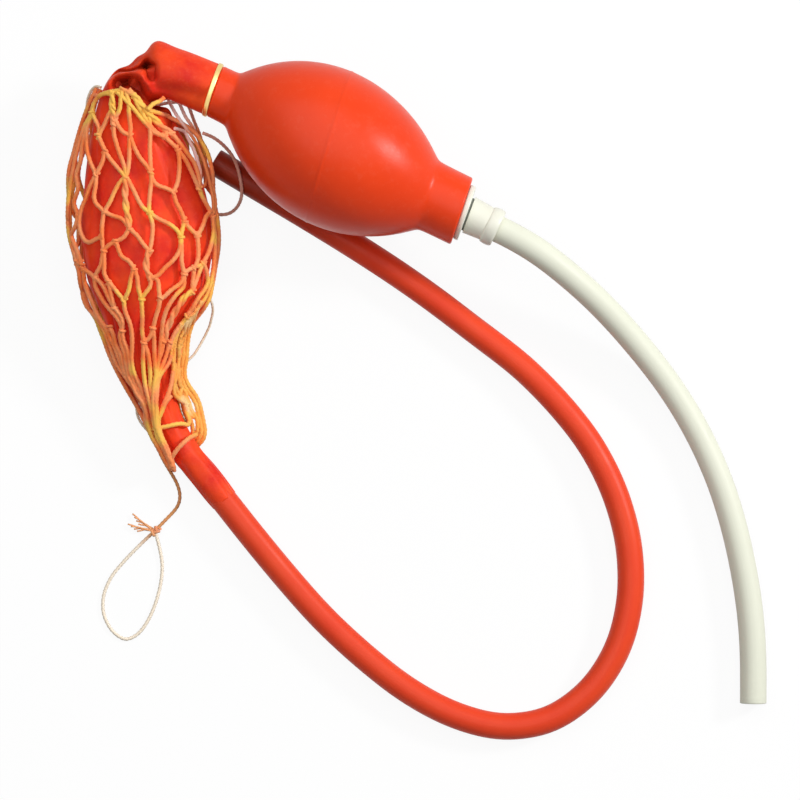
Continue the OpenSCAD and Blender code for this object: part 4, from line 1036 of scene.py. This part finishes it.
# The net's slack hem on the bag's right and beside the lower neck
hem_strands = [
    [(-28.8, -10, 0), (-30.6, -13.4, 0), (-32.2, -17.4, 0), (-33.6, -21.5, 0), (-34.2, -25.5, 8),
     (-34.5, -30.2, 7.5), (-35.3, -34, 7), (-35.2, -37.1, 7), (-33.6, -40.2, 6.5), (-31.5, -43, 6),
     (-30.2, -46, 5.5), (-29.5, -49, 5), (-28.8, -52.5, 5), (-28.2, -55.8, 4.6),
     (-28.8, -58.6, 3.8), (-30.6, -60.6, 2.4), (-33, -61.8, 1)],
    [(-29.9, -12.1, 0), (-32, -15.4, 0), (-33.8, -19, 0), (-35, -22.6, 0), (-35.4, -26, 8.6),
     (-35.8, -30, 8), (-36.4, -34, 7.6), (-36.2, -37.6, 7.4), (-34.8, -40.8, 7),
     (-32.9, -43.4, 6.4), (-31.2, -46.4, 6), (-30.8, -49.4, 5.4), (-29.9, -52.6, 5.4),
     (-29.4, -56, 5), (-30.6, -59, 3.6), (-32.6, -60.6, 2), (-35, -61.4, 0.9)],
    [(-31.5, -14, 0), (-33.6, -17, 0), (-35.2, -20, 0), (-36.6, -23, 0), (-37.2, -26, 9.2),
     (-37.2, -30, 8.6), (-37.6, -34, 8.2), (-37.4, -38, 8), (-36.2, -41.4, 7.6), (-34.6, -44, 7.2),
     (-33.6, -46.2, 6.6), (-33.2, -48.6, 6), (-31.6, -50.2, 5.8), (-30.8, -52.4, 5.8),
     (-30.9, -55, 5.2), (-31.4, -57.6, 4), (-33, -59.4, 2), (-35, -60, 0.9)],
    [(-33.8, -15.8, 0), (-35.8, -18.6, 0), (-37.2, -21, 0), (-38.2, -24, 0), (-38.6, -27, 9.8),
     (-38.8, -31, 9.2), (-38.9, -35, 9), (-38.6, -39, 9), (-37.8, -42, 8.6), (-36, -44.6, 8.2),
     (-34.8, -47, 7.4), (-34.2, -49.4, 6.8), (-33.3, -52, 6.4), (-32.6, -54.4, 5.6),
     (-32.6, -57, 4), (-34.4, -58.6, 1.6)],
    [(-35.7, -17.9, 0), (-37.4, -20.4, 0), (-38.6, -23, 0), (-39.6, -26.6, 0), (-39.6, -30, 10.4),
     (-38.2, -33, 10), (-38, -36.6, 10), (-39, -40, 10.4), (-38.8, -43, 10.6), (-36.6, -44.9, 9),
     (-34, -46.6, 7)],
    [(-30.6, -12.6, 0), (-33, -16.6, 0), (-34.4, -20.6, 0), (-36.6, -25, 10), (-35, -29, 9),
     (-37.2, -33, 9.4), (-36.2, -36, 9), (-37.4, -39.4, 9), (-34.4, -42.4, 8), (-35.2, -45, 8),
     (-33.9, -49.6, 6.6), (-32, -51, 6)],
    [(-32.6, -14.8, 0), (-34.6, -18, 0), (-35.2, -21.4, 0), (-35.6, -24.4, 10), (-37.4, -27.4, 9),
     (-35.6, -31, 9.4), (-37.6, -35.4, 9), (-36, -38.6, 9), (-37, -43.4, 8), (-34.6, -44.4, 8)],
]
# Where the gathered tail lies: y, and its left and right edge
tail_bundle = [
    (-34, -57.6, -44), (-38, -55.4, -43.8), (-42, -52.2, -44.2), (-46, -49.9, -44.6),
    (-50, -49.2, -44.4), (-54, -48.8, -44), (-58, -47, -43), (-62, -44.5, -41.2),
    (-66, -42.2, -39.6), (-69, -40.6, -38.9),
]
BUNDLE_FROM = -34
BUNDLE_RIGHT = -43
# How far below its own end a strand joins the bundle, and how far it wanders in it
BUNDLE_STEP = 2.5
BUNDLE_WANDER = 0.09
BUNDLE_DRIFT = 0.8
BUNDLE_DEPTH = 0.0020
BUNDLE_EASE = 0.012
# Beyond here the hem no longer lies on the bag, but beside and under its neck
HEM_TUCK_Y = -0.052
HEM_TUCK_LENGTH = 0.014


def net_place(at, angle, out):
    """Points of the net at a length along the bag and an angle round it, slack included."""
    rows = read_off(at, bag_at, bag_run)
    rows[..., 4] += rows[..., 6] * (1 + np.cos(angle)) / 2 + rows[..., 7] * (1 - np.cos(angle)) / 2
    return section(rows, angle, out)


def nearest_row(x, y):
    """Number of the row of the bag's run that is nearest to a place."""
    return np.linalg.norm(bag_run[:, :2] - np.array([x, y]) / 1000, axis=1).argmin()


def over_bag(flat, out):
    """Lifts places drawn from above onto the net's upper side. Each place finds the section that
    it lies in, and how far across it that is. A place beside the net lies at the widest height."""
    rows = bag_run[net_first:]
    turn = np.radians(rows[:, 3])
    offset = flat[:, None, :] - rows[:, :2]
    ahead = offset[..., 0] * np.cos(turn) + offset[..., 1] * np.sin(turn)
    aside = offset[..., 0] * np.sin(turn) - offset[..., 1] * np.cos(turn)
    pick = (np.abs(ahead) + 0.25 * np.abs(aside)).argmin(axis=1)
    row, aside = rows[pick], aside[np.arange(len(flat)), pick]
    share = np.zeros(len(flat))
    for _ in range(8):
        wide = row[:, 4] + out + row[:, 6] * (1 + share) / 2 + row[:, 7] * (1 - share) / 2
        share = np.clip(aside / wide, -1, 1)
    z = row[:, 2] + (row[:, 5] + out) * np.sqrt(1 - share ** 2)
    return np.column_stack([flat, z])


def drawn(strand, ease=STRAND_EASE):
    """The eased route of a strand that is drawn in millimetres."""
    return eased_route(np.array(strand) / 1000, TWINE_STEP, ease)


def twisted(route, radius=TWINE_R, sides=TWINE_SIDES):
    """Rings of a two-ply twine along a route: an oval that turns with the length."""
    along = lengths(route)[:, None]
    turn = np.arange(sides) * 2 * np.pi / sides
    oval = 1 + PLY_GROOVE * np.cos(2 * (turn - 2 * np.pi * along / PLY_PITCH))
    return tube_rings(route, radius * oval, sides)


def plied(route):
    """A pair of routes that wind round one route."""
    along = lengths(route)[:, None]
    heading = unit(np.gradient(route, axis=0))
    side = unit(np.cross(heading, upwards))
    wind = 2 * np.pi * along / PAIR_PITCH
    away = PAIR_APART * (np.cos(wind) * side + 0.7 * np.sin(wind) * upwards)
    return [route + away, route - away]


def wrap(place, heading, radius=KNOT_R, turns=KNOT_TURNS):
    """The route of a knot: a tight coil round a strand."""
    side = unit(np.cross(heading, upwards))
    over = np.cross(side, heading)
    wind = np.linspace(0, 2 * np.pi * turns, 20)[:, None]
    drift = (wind / wind[-1] - 0.5) * 2.2 * TWINE_R * turns
    return place + radius * (np.cos(wind) * side + 0.85 * np.sin(wind) * over) + drift * heading


def twine(name, light, deep, second, second_after=None):
    """Twisted twine: stripes of the plies, fibres along them, patches of deeper dye, and a second
    colour, which comes in patches or takes over from a length on."""
    made, tree, place = new_material(name)
    run = node(tree, "UVMap", uv_map="run").outputs[0]
    across, along, _ = node(tree, "SeparateXYZ", {0: run}).outputs
    pitch = node(tree, "Math", {0: along, 1: 2 / PLY_PITCH}, operation="MULTIPLY").outputs[0]
    lean = node(tree, "Math", {0: across, 1: 2.0, 2: pitch}, operation="MULTIPLY_ADD").outputs[0]
    wave = node(tree, "Math", {0: lean, 1: 2.0}, operation="PINGPONG").outputs[0]
    fibre_at = node(tree, "CombineXYZ", {0: lean, 1: along}).outputs[0]
    fibre_run = node(tree, "Mapping", {"Vector": fibre_at, "Scale": (9.0, 260.0, 1.0)}).outputs[0]
    fibre = noise(tree, fibre_run, 1.0, 3.0)
    dye = ranged(tree, noise(tree, place, 110.0, 4.0, 0.6), 0.35, 0.65, 0.0, 1.0)
    colour = tinted(tree, blended(tree, 0.3, dye, fibre), deep, light)
    if second_after is None:
        share = ranged(tree, noise(tree, place, 62.0, 2.0), 0.52, 0.60, 0.0, 0.8)
    else:
        share = ranged(tree, along, second_after, second_after + SECOND_COLOUR_EASE, 0.0, 1.0)
    sockets = {"Base Color": tinted(tree, share, colour, second), "Roughness": 0.62,
               "Specular IOR Level": 0.2, "Sheen Weight": 0.12}
    return finished(made, blended(tree, 0.5, wave, fibre), 0.35, 0.0002, sockets)


net_first = nearest_row(*mouth_ribs[3][:2])
net_last = nearest_row(*tail_ribs[-1][:2])
luck = np.random.default_rng(11)
bundle_y, bundle_left, bundle_right = np.array(tail_bundle).T


def gathered(strand):
    """A strand that reaches the tail runs on down the bundle, and keeps its share of the width."""
    x, y = strand[-1]
    if y > BUNDLE_FROM or x > BUNDLE_RIGHT:
        return strand
    left, right = (np.interp(-y, -bundle_y, edge) for edge in (bundle_left, bundle_right))
    share = np.clip((x - left) / (right - left), 0.04, 0.96)
    onward = list(strand)
    for lower_y, lower_left, lower_right in tail_bundle:
        if lower_y < y - BUNDLE_STEP:
            wander = np.clip(share + luck.normal(0, BUNDLE_WANDER), 0.03, 0.97)
            onward.append((lower_left + (lower_right - lower_left) * wander,
                           lower_y + luck.uniform(-BUNDLE_DRIFT, BUNDLE_DRIFT)))
    return onward


def laid(strand):
    """A drawn strand over the bag. In the bundle the strands lie over each other."""
    flat = drawn(gathered(strand))
    deep = np.clip((BUNDLE_FROM / 1000 - flat[:, 1]) / BUNDLE_EASE, 0, 1)
    return over_bag(flat, net_off + luck.uniform(0, BUNDLE_DEPTH) * deep)


upper_routes = [laid(strand) for strand in single_strands]
for strand in paired_strands:
    upper_routes += plied(laid(strand))
shaded_routes = [drawn(strand) for strand in shaded_strands]
hem_routes = [drawn(strand) for strand in hem_strands]
for route in hem_routes:
    over = over_bag(route[:, :2], net_off)[:, 2] - route[:, 2]
    route[:, 2] += np.maximum(over, 0) * np.clip((route[:, 1] - HEM_TUCK_Y) / HEM_TUCK_LENGTH, 0, 1)

# The under side: each strand swings half a column from row to row, and two meet in each knot
column_turn = 2 * np.pi / NET_COLUMNS
knot_rows = bag_at[net_first] + np.linspace(0, bag_at[net_last] - bag_at[net_first], NET_ROWS + 1)
side_columns = {NET_COLUMNS // 2: [1], NET_COLUMNS: [-1]}
under_routes = []
for column in range(NET_COLUMNS // 2, NET_COLUMNS + 1):
    # At the bag's two sides only the way that leads down
    for way in side_columns.get(column, [1, -1]):
        places = []
        for row, at in enumerate(knot_rows):
            odd = row % 2
            turn = (column + way * odd / 2) * column_turn + luck.normal(0, KNOT_WANDER)
            turn += (1 - 2 * odd) * way * TWINES_ASIDE
            bend = luck.normal(0, STRAND_WANDER)
            places += [(at - KNOT_LENGTH / 2, turn), (at + KNOT_LENGTH / 2, turn)]
            if row < NET_ROWS:
                middle = (knot_rows[row + 1] + at) / 2 + luck.normal(0, STRAND_DRIFT)
                places.append((middle, (column + way / 4) * column_turn + bend))
        at, turn = np.array(places).T
        fine = np.linspace(0, len(at) - 1, 60)
        at, turn = (np.interp(fine, np.arange(len(places)), values) for values in (at, turn))
        route = net_place(at, turn, net_off)
        under_routes.append(eased_route(route, TWINE_STEP * 1.5, STRAND_EASE))

knots = []
for route in upper_routes[:len(single_strands)]:
    for place, ahead in ((route[0], route[4]), (route[-1], route[-5])):
        apart = [np.linalg.norm(place - other) for other, _ in knots]
        if place[1] > KNOTS_ABOVE_Y and all(gap > KNOTS_APART for gap in apart):
            knots.append((place, unit(ahead - place)))
net_twine = twine("orange_twine", ORANGE_LIGHT, ORANGE_DEEP, ORANGE_GOLD)
yellow_twine = twine("yellow_twine", (1.0, 0.56, 0.13), (1.0, 0.30, 0.04), (1.0, 0.72, 0.36))
# Painted light: the strands from under the shaded side of the mouth are painted pale, as if lit,
# for their first 17 mm, and orange beyond
painted_lit_twine = twine("painted_lit_twine", (1.0, 0.86, 0.80), (0.98, 0.68, 0.60), (0.92, 0.30, 0.10), 0.017)


def net_piece(name, routes, material, stands_for=(), radius=TWINE_R,
              sides=TWINE_SIDES):
    """One piece of twine over several routes."""
    made = skin(name, [twisted(route, radius, sides) for route in routes])
    dress(made, material, stands_for=stands_for)
    return made


def hoop(top, row):
    """The route of a cord round the bag: drawn from above over the top, then round below."""
    over = over_bag(drawn(top), net_off)
    below = np.linspace(np.pi * 1.03, np.pi * 1.97, 60)
    under = net_place(np.full(60, bag_at[row]), below, net_off)
    return eased_route(np.concatenate([over, under, over[:1]]), TWINE_STEP, STRAND_EASE)


upper_routes.append(drawn(mouth_stub))
net_piece("net_strands", upper_routes, net_twine, ["reservoir_net"])
net_piece("net_under", under_routes, net_twine, ["reservoir_net"], sides=6)
net_piece("net_hem", hem_routes, yellow_twine, ["reservoir_net"])
net_piece("net_shaded", shaded_routes, painted_lit_twine, ["reservoir_net"], radius=SHADED_R)
knot_routes = [wrap(place, heading) for place, heading in knots]
net_piece("net_knots", knot_routes, net_twine, ["reservoir_net"], radius=KNOT_TWINE_R, sides=6)
net_piece("net_mouth", [hoop(mouth_hem, net_first)], net_twine, ["net_mouth_cord"])
net_piece("net_gather", [hoop(gather_top, net_last)], net_twine, ["net_gather_cord"])

# ---- Drawstring and loose threads --------------------------------------------------------------
# The gathering cord's tail comes out under the lower neck and ends in a loop that is tied back on
# itself, with two frayed ends. A tan thread arches from the net over the red hose's end and in
# under the bag, and a few pale ends hang loose.

STRING_R = 0.0006
STRING_EASE = 0.0022
THREAD_END_R = 0.00045
drawstring_points = [
    (-45.4, -60.2, 7.1), (-43.8, -64.8, 4.2), (-41.2, -69.4, 2), (-38.6, -73.6, 0.9),
    (-37, -78, 0.6), (-37.6, -82.4, 0.6), (-41.2, -86, 0.8), (-46, -91, 1.9), (-50, -94.6, 0.8),
    (-56, -100.6, 0.6), (-61.6, -107, 0.6), (-64.6, -113.6, 0.6), (-64.8, -120.4, 0.6),
    (-61.8, -126.6, 0.6), (-56.6, -130.4, 0.6), (-51.6, -127.6, 0.6), (-48, -122, 0.6),
    (-45.6, -116, 0.6), (-44, -109.6, 0.6), (-43.4, -103.4, 0.6), (-44.4, -97.6, 0.7),
    (-45.5, -93.6, 1.2), (-45.9, -91.8, 1.8),
]
loose_points = [
    (-28.4, 48.6, 20), (-25.6, 47.8, 18.6), (-22.8, 46, 16.4), (-19.8, 43.2, 14),
    (-17.8, 40.4, 12), (-16.6, 37.4, 10.8), (-15.8, 34.2, 10.4), (-15.2, 31, 10), (-15, 28, 8),
    (-15.6, 25.6, 5.4), (-16.8, 23.4, 2.8), (-18.6, 21.6, 1), (-20.8, 20.6, 0.6),
    (-23.2, 20.6, 0.6), (-25.6, 21.2, 0.8),
]
slack_strands = [
    [(-63.6, 64.2, 26), (-65.5, 64.9, 24.6), (-67.4, 63.5, 22), (-68.7, 60.8, 20),
     (-69.3, 57.8, 18), (-68.5, 54.6, 17)],
    [(-26.4, -8.6, 14), (-25.4, -11, 12), (-25.2, -13.6, 10), (-26.5, -18.6, 7),
     (-28.4, -22.5, 5.5), (-30.3, -25.9, 5.5), (-32.2, -29, 6.5), (-34.4, -31, 7.6)],
    [(-52.7, -48, 1.2), (-52.5, -50.3, 1), (-51.3, -52.7, 1.2), (-50, -54.3, 2.2),
     (-48, -56.3, 3.8)],
    [(-25.2, 21.1, 0.7), (-27.4, 21.6, 0.7), (-30, 21.4, 0.9), (-32.6, 20.6, 1.8),
     (-34.6, 19.6, 3.4)],
]
STRING_KNOT = (-0.046, -0.091, 0.0019)
# Heading, radius and number of turns of the knot's two coils
KNOT_COILS = [((1, 1, 0), 0.0009, 2.0), ((-0.6, 1, 0), 0.0010, 1.2)]
COIL_TWINE_R = 0.0005
# The two frayed ends: their length and where they point in degrees. Each of their fibres is
# shorter than the last by a share; it spreads and drops towards its tip, and waves a little
FRAY_LENGTH = 0.010
FRAY_TURNS = (150, 173)
FIBRE_R = 0.00028
FIBRE_SHORTER = 0.12
FIBRE_SPREAD = 0.0005
FIBRE_DROP = 0.0008
FIBRE_WAVE = 0.0003
pale_twine = twine("pale_twine", (0.94, 0.80, 0.62), (0.86, 0.66, 0.46), (0.96, 0.86, 0.72))
tan_twine = twine("tan_twine", (0.84, 0.50, 0.40), (0.62, 0.28, 0.20), (0.72, 0.38, 0.28))
tail_twine = twine("tail_twine", (0.56, 0.22, 0.10), (0.84, 0.40, 0.12), (0.98, 0.86, 0.70), 0.038)
fray_twine = twine("fray_twine", (0.92, 0.42, 0.22), (0.76, 0.27, 0.13), (0.94, 0.46, 0.20))

drawstring_route = drawn(drawstring_points, STRING_EASE)
drawstring = net_piece("drawstring_tail", [drawstring_route], tail_twine, ["drawstring"],
                       STRING_R)
loose_route = drawn(loose_points, STRING_EASE)
loose_thread = net_piece("loose_tan_thread", [loose_route], tan_twine, ["loose_thread"],
                         STRING_R)
slack_routes = [drawn(strand) for strand in slack_strands]
net_piece("slack_ends", slack_routes, pale_twine, (), THREAD_END_R)

knot_place = np.array(STRING_KNOT)
knot_rings = [twisted(wrap(knot_place, unit(np.array(heading, float)), radius, turns),
                      COIL_TWINE_R, 6) for heading, radius, turns in KNOT_COILS]
along = np.linspace(0, 1, 24)[:, None]
for turn in np.radians(FRAY_TURNS):
    ahead = np.array([np.cos(turn), np.sin(turn), 0])
    side = np.array([-ahead[1], ahead[0], 0])
    for fibre in range(4):
        reach = FRAY_LENGTH * (1 - FIBRE_SHORTER * fibre)
        spread = (fibre - 1.5) * FIBRE_SPREAD * along ** 2
        spread = spread + FIBRE_WAVE * np.sin(5 * along + fibre)
        height = FIBRE_WAVE * (fibre % 2) - FIBRE_DROP * along
        route = knot_place + ahead * reach * along + side * spread + upwards * height
        knot_rings.append(tube_rings(route, FIBRE_R, 6))
string_knot = skin("drawstring_knot_wraps", knot_rings)
dress(string_knot, fray_twine, stands_for=["drawstring_knot"])
